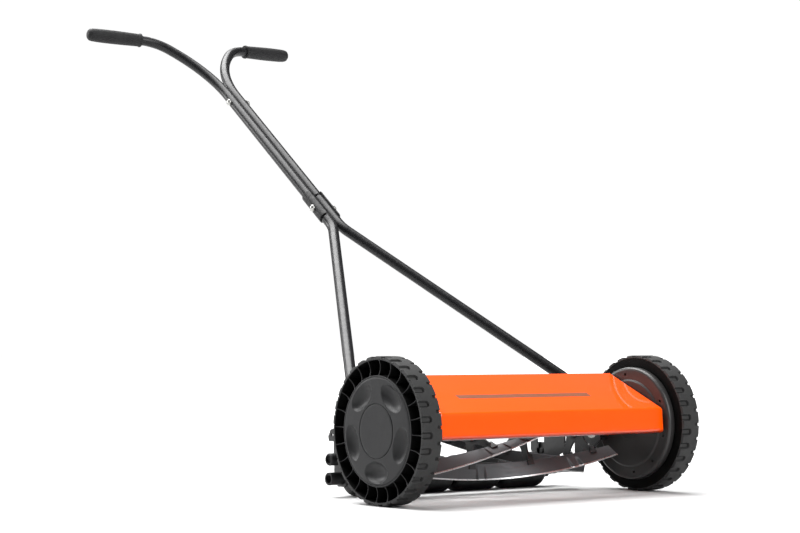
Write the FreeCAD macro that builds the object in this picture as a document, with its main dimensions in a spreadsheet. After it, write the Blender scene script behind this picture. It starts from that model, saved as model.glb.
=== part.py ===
"""Push reel mower: five-blade cutting reel driven by two side wheels, rear roller, T-shaped handle.

Axes: +X to the mower's right wheel, +Y from the cutting side back towards the grips, +Z up.
The floor is Z = 0 and the origin lies on it, half-way between the front of the wheels and the grips.
Parts of the chassis, reel and wheels are drawn about the wheel axle's plane and then moved to it.
"""
import FreeCAD
import Part
import math
import os
import Sketcher

V = FreeCAD.Vector
X_AXIS = V(1, 0, 0)
Y_AXIS = V(0, 1, 0)
Z_AXIS = V(0, 0, 1)
RIGHT = 1
LEFT = -1
SIDES = (("left", LEFT), ("right", RIGHT))

# (y, height above the axle) of the screws that join hood and dish.
HOOD_SCREW_SPOTS = ((8.0, 55.0), (-68.0, 18.0))
# Angles of the small holes round each dish, from +Y towards +Z.
DRAIN_HOLE_ANGLES = (84.0, 152.0, 193.0, 228.0, 262.0)
DRAIN_HOLE_RING = 78.0
# Places of the bed knife's screws along X, and how far they stand behind its edge.
KNIFE_SCREW_STATIONS = (-170.0, -85.0, 0.0, 85.0, 170.0)
KNIFE_SCREW_BACK = 16.0
# How far the handle's upper cross bolt lies beyond the clamp bolt.
UPPER_BOLT_DISTANCE = 344.0
# Turn of the first tread recess away from the top of each tyre, in degrees.
TREAD_START = {RIGHT: 0.8, LEFT: 4.4}

# Driving dimensions, in millimetres and degrees. "station" is a distance from the middle plane.
DIMENSIONS = {
    "axle_y": -432.0,
    "axle_height": 108.0,
    "tyre_radius": 108.0,
    "rim_radius": 104.0,
    "pocket_outer_radius": 102.7,
    "pocket_inner_radius": 80.3,
    "gear_seat_radius": 80.0,
    "wheel_outer_station": 276.5,
    "wheel_inner_station": 242.0,
    "web_station": 260.5,
    "web_thickness": 3.0,
    "hub_radius": 16.0,
    "hub_inner_station": 234.5,
    "bush_radius": 10.0,
    "axle_radius": 8.0,
    "cap_radius": 78.0,
    "cap_disc_radius": 39.5,
    "pocket_count": 24,
    "tread_pitches": 30,
    "tread_depth": 3.0,
    "recess_width": 9.5,
    "long_recess": 16.5,
    "short_recess": 8.5,
    "rib_thickness": 1.3,
    "dish_station": 226.5,
    "dish_radius": 89.3,
    "dish_rim_station": 240.7,
    "dish_thickness": 2.0,
    "plate_station": 201.5,
    "plate_thickness": 3.0,
    "reel_y": 59.0,
    "reel_drop": 10.9,
    "reel_radius": 72.6,
    "reel_half_length": 200.5,
    "blade_width": 25.5,
    "blade_thickness": 2.6,
    "blade_twist": -0.2545,
    "blade_start_angle": -97.0,
    "blade_count": 5,
    "shaft_radius": 8.0,
    "journal_radius": 7.5,
    "shaft_half_length": 260.5,
    "spider_thickness": 3.5,
    "spider_inner_station": 50.0,
    "spider_outer_station": 163.0,
    "bearing_radius": 14.0,
    "housing_radius": 18.0,
    "running_gap": 0.05,
    "gear_module": 2.0,
    "pinion_teeth": 15,
    "ring_teeth": 75,
    "gear_station": 247.5,
    "gear_width": 12.0,
    "hood_half_width": 222.5,
    "hood_sheet": 1.6,
    "hood_fold_radius": 6.5,
    "hood_rear_y": 37.6,
    "hood_rear_z": 186.6,
    "hood_fold_y": -80.4,
    "hood_fold_z": 133.5,
    "hood_front_y": -83.0,
    "hood_front_z": 98.7,
    "knife_y": 93.2,
    "knife_z": 32.6,
    "knife_half_length": 207.0,
    "bar_half_length": 201.3,
    "roller_y": 179.0,
    "roller_radius": 28.5,
    "roller_pitch": 97.6,
    "roller_gap": 0.6,
    "roller_shoulder": 14.7,
    "roller_axle_radius": 6.0,
    "bracket_station": 205.5,
    "bracket_thickness": 3.0,
    "knob_rise": 29.5,
    "knob_radius": 9.5,
    "notch_pitch": 17.0,
    "tie_rod_y": -30.0,
    "tie_rod_z": 138.0,
    "pivot_y": 75.0,
    "pivot_z": 130.9,
    "pivot_station": 216.0,
    "tube_radius": 9.0,
    "tube_wall": 1.4,
    "tube_side_offset": 9.3,
    "clamp_y": 521.3,
    "clamp_z": 470.7,
    "clamp_slope": 38.0,
    "grip_radius": 12.9,
    "grip_inner_x": 116.9,
    "grip_outer_x": 221.2,
}


class Dim:
    """A size that knows both its number and the sheet expression it comes from."""

    def __init__(self, value, text):
        self.value = value
        self.text = text

    def __add__(self, other):
        return combine(self, "+", other)

    def __sub__(self, other):
        return combine(self, "-", other)

    def __mul__(self, other):
        return combine(self, "*", other)

    def __truediv__(self, other):
        return combine(self, "/", other)

    def __neg__(self):
        return Dim(-self.value, "-(" + self.text + ")")


def as_dim(item):
    """Wrap a plain number so that it can stand beside sheet sizes."""
    if isinstance(item, Dim):
        return item
    return Dim(float(item), "(" + repr(float(item)) + ")")


def combine(first, sign, second):
    """Arithmetic on two sizes, done on the numbers and on the expressions together."""
    first = as_dim(first)
    second = as_dim(second)
    results = {
        "+": first.value + second.value,
        "-": first.value - second.value,
        "*": first.value * second.value,
        "/": first.value / second.value if second.value else 0.0,
    }
    return Dim(results[sign], "(" + first.text + " " + sign + " " + second.text + ")")


def make_sheet(document):
    """The spreadsheet of driving dimensions, one alias to a row."""
    sheet = document.addObject("Spreadsheet::Sheet", "Dims")
    for row, (alias, value) in enumerate(DIMENSIONS.items(), start=1):
        sheet.set("A" + str(row), alias)
        sheet.set("B" + str(row), str(value))
        sheet.setAlias("B" + str(row), alias)
    document.recompute()
    return sheet


doc = FreeCAD.newDocument("ReelMower")
sheet = make_sheet(doc)
subparts = []


def size(alias):
    """A driving dimension as a Dim."""
    return Dim(float(getattr(sheet, alias)), "Dims." + alias)


def number(alias):
    """A driving dimension as a plain number, for shapes built from coordinates."""
    return float(getattr(sheet, alias))


# ---------------------------------------------------------------- shared building steps

def new_body(label, placement=None):
    """An empty body that will be written out under its label."""
    body = doc.addObject("PartDesign::Body", label)
    body.Label = label
    if placement is not None:
        body.Placement = placement
    subparts.append(body)
    return body


def origin_feature(body, role):
    """One of the body's own planes or axes."""
    for feature in body.Origin.OriginFeatures:
        if feature.Role == role:
            return feature
    raise ValueError(role)


def new_sketch(body, role, name):
    """A sketch lying on one of the body's own planes."""
    sketch = body.newObject("Sketcher::SketchObject", name)
    sketch.AttachmentSupport = [(origin_feature(body, role), "")]
    sketch.MapMode = "FlatFace"
    return sketch


def pin_point(sketch, geometry, point, across, up):
    """Hold one sketch point at two sheet expressions measured from the sketch origin."""
    for kind, target in (("DistanceX", as_dim(across)), ("DistanceY", as_dim(up))):
        index = sketch.addConstraint(Sketcher.Constraint(kind, -1, 1, geometry, point, target.value))
        sketch.setExpression("Constraints[" + str(index) + "]", target.text)


def add_outline(sketch, points):
    """A closed outline of straight lines whose corners follow the sheet."""
    corners = [V(as_dim(a).value, as_dim(b).value, 0) for a, b in points]
    first = sketch.GeometryCount
    count = len(corners)
    for index in range(count):
        sketch.addGeometry(Part.LineSegment(corners[index], corners[(index + 1) % count]))
    for index in range(count):
        following = first + (index + 1) % count
        sketch.addConstraint(Sketcher.Constraint("Coincident", first + index, 2, following, 1))
    for index, (across, up) in enumerate(points):
        pin_point(sketch, first + index, 1, across, up)


def add_circle(sketch, across, up, radius):
    """A circle whose centre and radius follow the sheet."""
    across, up, radius = as_dim(across), as_dim(up), as_dim(radius)
    index = sketch.addGeometry(Part.Circle(V(across.value, up.value, 0), Z_AXIS, radius.value))
    pin_point(sketch, index, 3, across, up)
    limit = sketch.addConstraint(Sketcher.Constraint("Radius", index, radius.value))
    sketch.setExpression("Constraints[" + str(limit) + "]", radius.text)


def revolve(body, points, name="Turned"):
    """Turn an outline of (radius, station) points about the body's Z axis."""
    sketch = new_sketch(body, "XZ_Plane", name + "Profile")
    add_outline(sketch, points)
    feature = body.newObject("PartDesign::Revolution", name)
    feature.Profile = sketch
    feature.ReferenceAxis = (sketch, ["V_Axis"])
    feature.Angle = 360.0
    body.Tip = feature
    return feature


def groove(body, points, name):
    """Cut a turned recess from (radius, station) points about the body's Z axis."""
    sketch = new_sketch(body, "XZ_Plane", name + "Profile")
    add_outline(sketch, points)
    feature = body.newObject("PartDesign::Groove", name)
    feature.Profile = sketch
    feature.ReferenceAxis = (sketch, ["V_Axis"])
    feature.Angle = 360.0
    body.Tip = feature
    return feature


def pad(body, sketch, length, name, both_ways=False):
    """Raise a sketch into a solid of a sheet length."""
    feature = body.newObject("PartDesign::Pad", name)
    feature.Profile = sketch
    feature.Length = as_dim(length).value
    feature.setExpression("Length", as_dim(length).text)
    if both_ways:
        feature.SideType = "Symmetric"
    body.Tip = feature
    return feature


def pocket(body, sketch, length, name, both_ways=False, reverse=False):
    """Cut a sketch out of the solid to a sheet depth."""
    feature = body.newObject("PartDesign::Pocket", name)
    feature.Profile = sketch
    feature.Length = as_dim(length).value
    feature.setExpression("Length", as_dim(length).text)
    if both_ways:
        feature.SideType = "Symmetric"
    feature.Reversed = reverse
    body.Tip = feature
    return feature


def around(body, feature, count, name):
    """Repeat one feature evenly about the body's Z axis."""
    pattern = body.newObject("PartDesign::PolarPattern", name)
    pattern.Originals = [feature]
    pattern.Axis = (origin_feature(body, "Z_Axis"), [""])
    pattern.Angle = 360.0
    pattern.Occurrences = int(count)
    body.Tip = pattern
    return pattern


def free_shape(label, shape, placement=None):
    """A sub-part whose shape is worked out in code, for swept, twisted or toothed pieces."""
    item = doc.addObject("Part::Feature", label)
    item.Label = label
    item.Shape = shape
    if placement is not None:
        item.Placement = placement
    subparts.append(item)
    return item


def axle_frame(across=0.0):
    """Placement of the frame drawn about the point on the floor under the wheel axle."""
    return FreeCAD.Placement(V(across, number("axle_y"), 0), FreeCAD.Rotation())


def outward(side, y=0.0, z=None):
    """Placement that lays a turned part's Z axis along X, pointing away from the middle."""
    height = number("axle_height") if z is None else z
    turn = FreeCAD.Rotation(Y_AXIS, 90.0 * side)
    return FreeCAD.Placement(V(0, number("axle_y") + y, height), turn)


def side_sheet(label, side, station, thickness, points, holes):
    """A flat plate in a vertical fore-and-aft plane, with (y, z, radius) holes."""
    start = number(station) if side == RIGHT else -number(station) - number(thickness)
    body = new_body(label, axle_frame(start))
    sketch = new_sketch(body, "YZ_Plane", "Outline")
    add_outline(sketch, points)
    for y, z, radius in holes:
        add_circle(sketch, y, z, radius)
    pad(body, sketch, size(thickness), "Sheet")
    return body


def cross_cylinder(start, end, radius, y, z):
    """A plain cylinder along X between two stations, in the axle frame."""
    low, high = min(start, end), max(start, end)
    return Part.makeCylinder(radius, high - low, V(low, y, z), X_AXIS)


def hex_head(start, end, across_flats, y, z):
    """A hexagonal head or nut along X between two stations, in the axle frame."""
    low, high = min(start, end), max(start, end)
    corner = across_flats / math.sqrt(3)
    angles = [math.radians(60 * step) for step in range(7)]
    points = [V(low, y + corner * math.cos(a), z + corner * math.sin(a)) for a in angles]
    return Part.Face(Part.makePolygon(points)).extrude(V(high - low, 0, 0))


# ---------------------------------------------------------------- wheels

def make_wheel(name, side):
    """Moulded wheel: hub, web, deep ring of pockets divided by ribs with dished free edges."""
    face, back = size("wheel_outer_station"), size("wheel_inner_station")
    web = size("web_station")
    inner, outer = size("pocket_inner_radius"), size("pocket_outer_radius")
    seat, floor = size("gear_seat_radius"), back + 2.5
    body = new_body("wheel_" + name, outward(side))
    revolve(body, [
        (size("bush_radius"), size("hub_inner_station")),
        (size("hub_radius"), size("hub_inner_station")),
        (size("hub_radius"), web),
        (seat, web),
        (seat, back),
        (size("rim_radius"), back),
        (size("rim_radius"), face),
        (outer, face),
        (outer, floor),
        (inner + 2.0, floor),
        (inner + 2.0, web),
        (inner, face),
        (size("cap_radius") + 0.3, face),
        (size("cap_radius") + 0.3, face - 4.0),
        (size("cap_radius") - 4.0, face - 4.0),
        (size("cap_radius") - 4.0, web + size("web_thickness")),
        (size("bush_radius"), web + size("web_thickness")),
    ])
    sketch = new_sketch(body, "XZ_Plane", "RibProfile")
    middle = (inner + outer) / 2.0
    add_outline(sketch, [
        (inner - 0.2, floor - 0.5),
        (outer + 0.5, floor - 0.5),
        (outer + 0.5, face - 0.8),
        (middle, face - 3.8),
        (inner - 0.2, face - 0.8),
    ])
    rib = pad(body, sketch, size("rib_thickness"), "Rib", both_ways=True)
    around(body, rib, number("pocket_count"), "Ribs")


def tread_recess(edge, inward, length, corner):
    """Cutter for one flat recess at the top of the tyre, open at the edge and rounded inside."""
    depth, width = number("tread_depth"), number("recess_width")
    low = min(edge - inward, edge + inward * length)
    block = Part.makeBox(length + 1.0, width, depth + 1.0, V(low, -width / 2, number("tyre_radius") - depth))
    inside = edge + inward * length
    corners = [e for e in block.Edges if e.BoundBox.ZLength > depth and abs(e.CenterOfMass.x - inside) < 0.01]
    return block.makeFillet(corner, corners)


def make_tyre(name, side):
    """Tread ring with long rounded recesses from its left edge and short ones from its right edge."""
    face, back = number("wheel_outer_station"), number("wheel_inner_station") - 0.2
    radius, seat = number("tyre_radius"), number("rim_radius")
    count = int(number("tread_pitches"))
    outer = Part.makeCylinder(radius, face - back, V(back, 0, 0), X_AXIS)
    outer = outer.makeChamfer(1.2, [edge for edge in outer.Edges if abs(edge.Length - 2 * math.pi * radius) < 1])
    ring = outer.cut(Part.makeCylinder(seat, face - back, V(back, 0, 0), X_AXIS))
    left_edge, right_edge, inward = (back, face, 1) if side == RIGHT else (face, back, -1)
    pitch = 360.0 / count
    first = TREAD_START[side]
    cuts = []
    for index in range(count):
        long_one = tread_recess(left_edge, inward, number("long_recess"), 4.5)
        long_one.rotate(V(0, 0, 0), X_AXIS, first + pitch * index)
        short_one = tread_recess(right_edge, -inward, number("short_recess"), 3.0)
        short_one.rotate(V(0, 0, 0), X_AXIS, first + pitch * (index + 0.5))
        cuts += [long_one, short_one]
    ring = ring.cut(Part.makeCompound(cuts))
    mirror_back = FreeCAD.Rotation(Z_AXIS, 0.0 if side == RIGHT else 180.0)
    free_shape("tyre_" + name, ring, FreeCAD.Placement(V(0, number("axle_y"), number("axle_height")), mirror_back))


def make_hub_cap(name, side):
    """Round cap pressed into the wheel: five scooped hollows round a centre disc."""
    face, rim = number("wheel_outer_station"), number("cap_radius")
    disc = number("cap_disc_radius")
    back = face - 3.8
    profile = [V(0, 0, back), V(rim, 0, back), V(rim, 0, face - 0.6), V(rim - 2, 0, face + 0.6)]
    profile += [V(disc + 1, 0, face + 1.4), V(disc + 0.4, 0, face + 0.2), V(disc - 0.4, 0, face + 0.2)]
    profile += [V(disc - 1, 0, face + 1.5), V(0, 0, face + 1.0)]
    wire = Part.makePolygon(profile + [profile[0]])
    cap = Part.Face(wire).revolve(V(0, 0, 0), Z_AXIS, 360)
    scoops = []
    for index in range(5):
        ball = Part.makeSphere(1.0)
        matrix = FreeCAD.Matrix()
        matrix.scale(V(15.0, 26.0, 3.6))
        ball = ball.transformGeometry(matrix)
        ball.translate(V((disc + rim) / 2 + 0.5, 0, face + 1.2))
        ball.rotate(V(0, 0, 0), Z_AXIS, 72.0 * index + (0 if side == RIGHT else 180))
        scoops.append(ball)
    free_shape("hub_cap_" + name, cap.cut(Part.makeCompound(scoops)), outward(side))


def tooth_half_angle(radius, teeth, slack):
    """Half the angle that one involute tooth fills at a radius, in radians."""
    pressure = math.radians(25.0)
    pitch_radius = number("gear_module") * teeth / 2
    base_radius = pitch_radius * math.cos(pressure)
    local = math.acos(min(1.0, base_radius / radius))
    spread = math.tan(pressure) - pressure - math.tan(local) + local
    return math.pi / (2 * teeth) - slack / pitch_radius + spread


def gear_outline(teeth, root, tip, slack, start_angle):
    """Closed outline of a gear in the YZ plane, one tooth centred on the start angle."""
    steps = 4
    radii = [root + (tip - root) * step / steps for step in range(steps + 1)]
    points = []
    for tooth in range(teeth):
        centre = start_angle + 2 * math.pi * tooth / teeth
        flank = [(radius, tooth_half_angle(radius, teeth, slack)) for radius in radii]
        rising = [(radius, centre - half) for radius, half in flank]
        falling = [(radius, centre + half) for radius, half in reversed(flank)]
        points += [V(0, r * math.cos(a), r * math.sin(a)) for r, a in rising + falling]
    return Part.makePolygon(points + [points[0]])


def make_gears(name, side):
    """Internal ring gear in the wheel and the pinion on the reel shaft that runs inside it."""
    module = number("gear_module")
    ring_teeth, pinion_teeth = int(number("ring_teeth")), int(number("pinion_teeth"))
    mesh_angle = math.atan2(-number("reel_drop"), number("reel_y"))
    start = number("gear_station") if side == RIGHT else -number("gear_station") - number("gear_width")
    length = V(number("gear_width"), 0, 0)
    ring_pitch, pinion_pitch = module * ring_teeth / 2, module * pinion_teeth / 2
    hollow = gear_outline(ring_teeth, ring_pitch - 0.8 * module, ring_pitch + 1.25 * module, -0.08, mesh_angle)
    hollow = Part.Face(hollow).extrude(length)
    blank = Part.makeCylinder(number("gear_seat_radius"), number("gear_width"), V(0, 0, 0), X_AXIS)
    place = FreeCAD.Placement(V(start, number("axle_y"), number("axle_height")), FreeCAD.Rotation())
    free_shape("ring_gear_" + name, blank.cut(hollow), place)
    teeth = gear_outline(pinion_teeth, pinion_pitch - 1.2 * module, pinion_pitch + module, 0.08, mesh_angle)
    pinion = Part.Face(teeth).extrude(length)
    pinion = pinion.cut(Part.makeCylinder(number("journal_radius"), number("gear_width"), V(0, 0, 0), X_AXIS))
    place = FreeCAD.Placement(V(start, reel_row_y(), reel_row_z()), FreeCAD.Rotation())
    free_shape("drive_pinion_" + name, pinion, place)


def make_wheel_bearing(name, side):
    """Stub axle bolted through the dish, and the bush that turns on it."""
    radius = size("axle_radius")
    dish = size("dish_station")
    body = new_body("wheel_axle_" + name, outward(side))
    revolve(body, [
        (0, dish - 4.0),
        (size("hub_radius") + 0.5, dish - 4.0),
        (size("hub_radius") + 0.5, dish - 0.5),
        (radius, dish - 0.5),
        (radius, dish + 2.5),
        (size("hub_radius") - 2.0, dish + 2.5),
        (size("hub_radius") - 2.0, size("hub_inner_station") - 0.6),
        (radius, size("hub_inner_station") - 0.6),
        (radius, size("web_station") + 9.0),
        (0, size("web_station") + 9.0),
    ])
    bush = new_body("wheel_bush_" + name, outward(side))
    revolve(bush, [
        (radius + size("running_gap"), size("hub_inner_station")),
        (size("bush_radius"), size("hub_inner_station")),
        (size("bush_radius"), size("web_station") + size("web_thickness")),
        (radius + size("running_gap"), size("web_station") + size("web_thickness")),
    ])


def make_axle_retainers():
    """Spring clips on the ends of the two stub axles, outside the hubs."""
    clips = []
    start = number("web_station") + number("web_thickness") + 0.4
    for _, side in SIDES:
        disc = cross_cylinder(side * start, side * (start + 1.6), 13.0, 0, number("axle_height"))
        hole = cross_cylinder(side * start, side * (start + 1.6), number("axle_radius"), 0, number("axle_height"))
        clips.append(disc.cut(hole))
    free_shape("axle_clips", Part.makeCompound(clips), axle_frame())


# ---------------------------------------------------------------- chassis

def reel_row_y():
    """The reel axis in the row frame."""
    return number("axle_y") + number("reel_y")


def reel_row_z():
    """Height of the reel axis above the floor."""
    return number("axle_height") - number("reel_drop")


def make_dish(name, side):
    """Pressed round side cover: raised centre, one step, rolled rim; the reel shaft passes through it."""
    inner, thick = size("dish_station"), size("dish_thickness")
    rim, edge = size("dish_radius"), size("dish_rim_station")
    body = new_body("side_dish_" + name, outward(side))
    revolve(body, [
        (size("axle_radius"), inner - 0.5),
        (24.0, inner - 0.5),
        (26.0, inner + 0.4),
        (67.0, inner + 0.4),
        (70.0, inner + 2.2),
        (rim - 4.5, inner + 2.2),
        (rim - 2.2, inner + 2.8),
        (rim - 0.6, inner + 4.2),
        (rim, inner + 6.4),
        (rim, edge),
        (rim - thick, edge),
        (rim - thick, inner + 6.8),
        (rim - 3.6, inner + 4.8),
        (rim - 5.0, inner + 4.2),
        (69.0, inner + 4.2),
        (66.0, inner + 2.4),
        (25.0, inner + 2.4),
        (23.0, inner + 1.5),
        (size("axle_radius"), inner + 1.5),
    ])
    # The turned part's X axis points down on the right side and up on the left one.
    sketch = new_sketch(body, "XY_Plane", "HolePositions")
    add_circle(sketch, size("reel_drop") * side, size("reel_y"), size("bearing_radius") - 4.5)
    drop = size("axle_height") - size("pivot_z")
    add_circle(sketch, drop * side, size("pivot_y"), 4.05)
    for across, up in HOOD_SCREW_SPOTS:
        add_circle(sketch, -up * side, across, 2.6)
    for angle in DRAIN_HOLE_ANGLES:
        turn = math.radians(angle)
        add_circle(sketch, -DRAIN_HOLE_RING * math.sin(turn) * side, DRAIN_HOLE_RING * math.cos(turn), 2.2)
    pocket(body, sketch, edge + 20.0, "Holes", reverse=True)


def make_side_plate(name, side):
    """Frame plate outside the reel: carries bearing, bed knife, handle pivot and the notched rear slot."""
    slot = number("roller_y")
    half_slot = 6.6
    first = number("axle_height") - 8.0
    outline = [
        (38.0, 82.0),
        (40.0, 128.0),
        (66.0, 152.0),
        (116.0, 152.0),
        (152.0, 116.0),
        (slot + 34.0, 102.0),
        (slot + 40.5, 91.0),
        (slot + 39.0, 84.0),
        (slot + 26.0, 84.0),
        (slot + 26.0, 60.0),
        (slot + 20.0, 48.0),
        (slot + 20.0, 24.0),
        (slot + half_slot, 24.0),
    ]
    pitch = number("notch_pitch")
    base = number("roller_radius") + number("knob_rise")
    for step in (-1, 0, 1, 2):
        centre = base + pitch * step
        outline += [(slot + half_slot, centre - 5.5), (slot + half_slot + 4.0, centre - 3.5)]
        outline += [(slot + half_slot + 4.0, centre + 3.5), (slot + half_slot, centre + 5.5)]
    outline += [
        (slot + half_slot, first),
        (slot - half_slot, first),
        (slot - half_slot, 24.0),
        (slot - 16.0, 36.0),
        (131.0, 42.0),
        (125.0, 34.0),
        (106.0, 32.0),
        (92.0, 37.0),
    ]
    holes = [
        (size("reel_y"), size("axle_height") - size("reel_drop"), size("bearing_radius")),
        (size("pivot_y"), size("pivot_z"), 4.05),
        (slot + 30.0, 94.0, 2.6),
        (121.5, 39.5, 2.6),
    ]
    body = side_sheet("side_plate_" + name, side, "plate_station", "plate_thickness", outline, holes)
    toothed = [(98.0, 52.0), (98.0, 84.0), (122.0, 84.0)]
    for level in (71.0, 65.5, 60.0):
        toothed += [(122.0, level + 1.5), (107.0, level + 0.9), (107.0, level - 0.9), (122.0, level - 1.5)]
    toothed += [(128.0, 56.0), (136.0, 53.0), (136.0, 50.5)]
    windows = new_sketch(body, "YZ_Plane", "Windows")
    add_outline(windows, toothed)
    add_outline(windows, [(60.5, 58.0), (78.5, 56.5), (74.0, 72.5), (64.0, 73.5)])
    pocket(body, windows, size("plate_thickness"), "Lightening", reverse=True)


def make_bearing(name, side):
    """Housing that ties side plate to dish round the reel shaft, and the ball bearing in it."""
    plate_end = size("plate_station") + size("plate_thickness")
    cup = size("bearing_radius")
    place = outward(side, number("reel_y"), reel_row_z())
    housing = new_body("bearing_housing_" + name, place)
    revolve(housing, [
        (cup, plate_end),
        (size("housing_radius") + 4.0, plate_end),
        (size("housing_radius") + 4.0, plate_end + 2.5),
        (size("housing_radius"), plate_end + 2.5),
        (size("housing_radius"), size("dish_station") + 0.4),
        (size("journal_radius") + 1.0, size("dish_station") + 0.4),
        (size("journal_radius") + 1.0, plate_end + 8.0),
        (cup, plate_end + 8.0),
    ])
    bearing = new_body("reel_bearing_" + name, place)
    bore = size("journal_radius") + size("running_gap")
    revolve(bearing, [
        (bore, plate_end - 2.0),
        (cup, plate_end - 2.0),
        (cup, plate_end + 8.0),
        (bore, plate_end + 8.0),
    ])


def offset_path(points, distance):
    """A polyline in the YZ plane moved sideways, with mitred corners; positive is to its left."""
    normals = []
    for before, after in zip(points[:-1], points[1:]):
        run = (after - before).normalize()
        normals.append(V(0, -run.z, run.y))
    moved = [points[0] + normals[0] * distance]
    for corner, first, second in zip(points[1:-1], normals[:-1], normals[1:]):
        moved.append(corner + (first + second) * (distance / (1 + first.dot(second))))
    moved.append(points[-1] + normals[-1] * distance)
    return moved


def hood_path():
    """Outside corners of the hood's section: rear hem, rear edge, main fold, front edge, lip."""
    rear = V(0, number("hood_rear_y"), number("hood_rear_z"))
    fold = V(0, number("hood_fold_y"), number("hood_fold_z"))
    front = V(0, number("hood_front_y"), number("hood_front_z"))
    return [rear + V(0, 3.0, -9.0), rear, fold, front, front + V(0, 6.6, -2.4)]


def between(outer, inner, length):
    """Solid between two polylines, drawn out along X from the middle plane."""
    return Part.Face(Part.makePolygon(outer + list(reversed(inner)) + [outer[0]])).extrude(V(length, 0, 0))


def make_hood():
    """Bent sheet hood with a hem at the rear, a lip at the front and a flange closing each end."""
    thickness = number("hood_sheet")
    half = number("hood_half_width")
    path = hood_path()
    hood = between(path, offset_path(path, thickness), 2 * half)
    hood.translate(V(-half, 0, 0))
    hood = hood.makeFillet(number("hood_fold_radius"), [edge for edge in hood.Edges if is_main_fold(edge)])
    flange = between(offset_path(path[1:4], 0.6), offset_path(path[1:4], 20.0), thickness)
    for start in (-half, half - thickness):
        end = flange.copy()
        end.translate(V(start, 0, 0))
        hood = hood.fuse(end)
    for y, up in HOOD_SCREW_SPOTS:
        hood = hood.cut(cross_cylinder(-half - 1, half + 1, 2.6, y, number("axle_height") + up))
    hood = hood.cut(cross_cylinder(-half - 1, half + 1, 5.05, number("tie_rod_y"), number("tie_rod_z")))
    free_shape("hood", hood.removeSplitter(), axle_frame())


def is_main_fold(edge):
    """True for the full-length edge along the hood's main fold."""
    middle = edge.CenterOfMass
    along = edge.Length > 1.9 * number("hood_half_width")
    near = abs(middle.y - number("hood_fold_y")) < 0.5 and abs(middle.z - number("hood_fold_z")) < 0.5
    return along and near


def make_hood_fasteners():
    """Shouldered screws that hold the hood's end flanges off the dishes."""
    screws = []
    dish, flange = number("dish_station"), number("hood_half_width")
    for _, side in SIDES:
        for y, up in HOOD_SCREW_SPOTS:
            z = number("axle_height") + up
            head = cross_cylinder(side * (flange - 4.6), side * (flange - 1.6), 5.0, y, z)
            shank = cross_cylinder(side * (flange - 1.6), side * (dish + 8.0), 2.5, y, z)
            spacer = cross_cylinder(side * flange, side * (dish + 0.4), 5.0, y, z)
            nut = hex_head(side * (dish + 4.4), side * (dish + 7.8), 8.0, y, z)
            screws.append(head.multiFuse([shank, spacer, nut]).removeSplitter())
    free_shape("hood_screws", Part.makeCompound(screws), axle_frame())


def make_tie_rod():
    """Round tie between the two dishes under the hood's top panel."""
    dish = size("dish_station")
    centre = V(0, number("axle_y") + number("tie_rod_y"), number("tie_rod_z"))
    body = new_body("tie_rod", FreeCAD.Placement(centre, FreeCAD.Rotation(Y_AXIS, 90)))
    revolve(body, [(0, -dish - 0.4), (5.0, -dish - 0.4), (5.0, dish + 0.4), (0, dish + 0.4)])


def knife_screw_holes(body):
    """Holes for the bed knife's screws, drilled straight up."""
    sketch = new_sketch(body, "XY_Plane", "ScrewPositions")
    for station in KNIFE_SCREW_STATIONS:
        add_circle(sketch, station, size("knife_y") + KNIFE_SCREW_BACK, 2.55)
    pocket(body, sketch, size("knife_z") * 2.0, "ScrewHoles", reverse=True)


def make_bed_knife():
    """Flat bed knife just behind the reel's lowest line, under a folded angle bar, with its screws."""
    y, z = size("knife_y"), size("knife_z")
    knife = new_body("bed_knife", axle_frame())
    sketch = new_sketch(knife, "YZ_Plane", "Section")
    add_outline(sketch, [(y, z), (y + 26.0, z - 4.6), (y + 25.5, z - 7.6), (y + 1.6, z - 3.4)])
    pad(knife, sketch, size("knife_half_length") * 2.0, "Strip", both_ways=True)
    knife_screw_holes(knife)
    bar = new_body("bed_knife_bar", axle_frame())
    sketch = new_sketch(bar, "YZ_Plane", "Section")
    add_outline(sketch, [
        (y + 9.0, z - 1.55),
        (y + 26.0, z - 4.55),
        (y + 30.0, z - 5.25),
        (y + 30.0, z + 14.0),
        (y + 26.6, z + 14.0),
        (y + 26.6, z - 1.2),
        (y + 9.4, z + 1.85),
    ])
    pad(bar, sketch, size("bar_half_length") * 2.0, "Angle", both_ways=True)
    knife_screw_holes(bar)
    screws = []
    row_y, top = number("knife_y") + KNIFE_SCREW_BACK, number("knife_z") + 1.6
    for station in KNIFE_SCREW_STATIONS:
        shank = Part.makeCylinder(2.5, 8.0, V(station, row_y, top - 8.0))
        head = Part.makeCylinder(4.5, 2.2, V(station, row_y, top))
        screws.append(shank.fuse(head))
    free_shape("bed_knife_screws", Part.makeCompound(screws), axle_frame())


# ---------------------------------------------------------------- reel

def blade_section(station, index):
    """Closed rectangular section of one blade at a station along the reel."""
    twist = number("blade_start_angle") - 360.0 / number("blade_count") * index
    angle = math.radians(twist + number("blade_twist") * station)
    radial = V(0, math.cos(angle), math.sin(angle))
    across = V(0, -math.sin(angle), math.cos(angle)) * (number("blade_thickness") / 2)
    outer, inner = radial * number("reel_radius"), radial * (number("reel_radius") - number("blade_width"))
    base = V(station, 0, 0)
    corners = [base + outer - across, base + outer + across, base + inner + across, base + inner - across]
    return Part.makePolygon(corners + [corners[0]])


def reel_placement():
    """The reel is drawn about its own axis."""
    return FreeCAD.Placement(V(0, reel_row_y(), reel_row_z()), FreeCAD.Rotation())


def make_reel_blades():
    """Five helical blades, each a twisted strip standing on edge."""
    half = number("reel_half_length")
    stations = [half * step / 8 for step in range(-8, 9)]
    for index in range(int(number("blade_count"))):
        sections = [blade_section(station, index) for station in stations]
        blade = Part.makeLoft(sections, True, False)
        free_shape("reel_blade_" + str(index + 1), blade, reel_placement())


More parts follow.
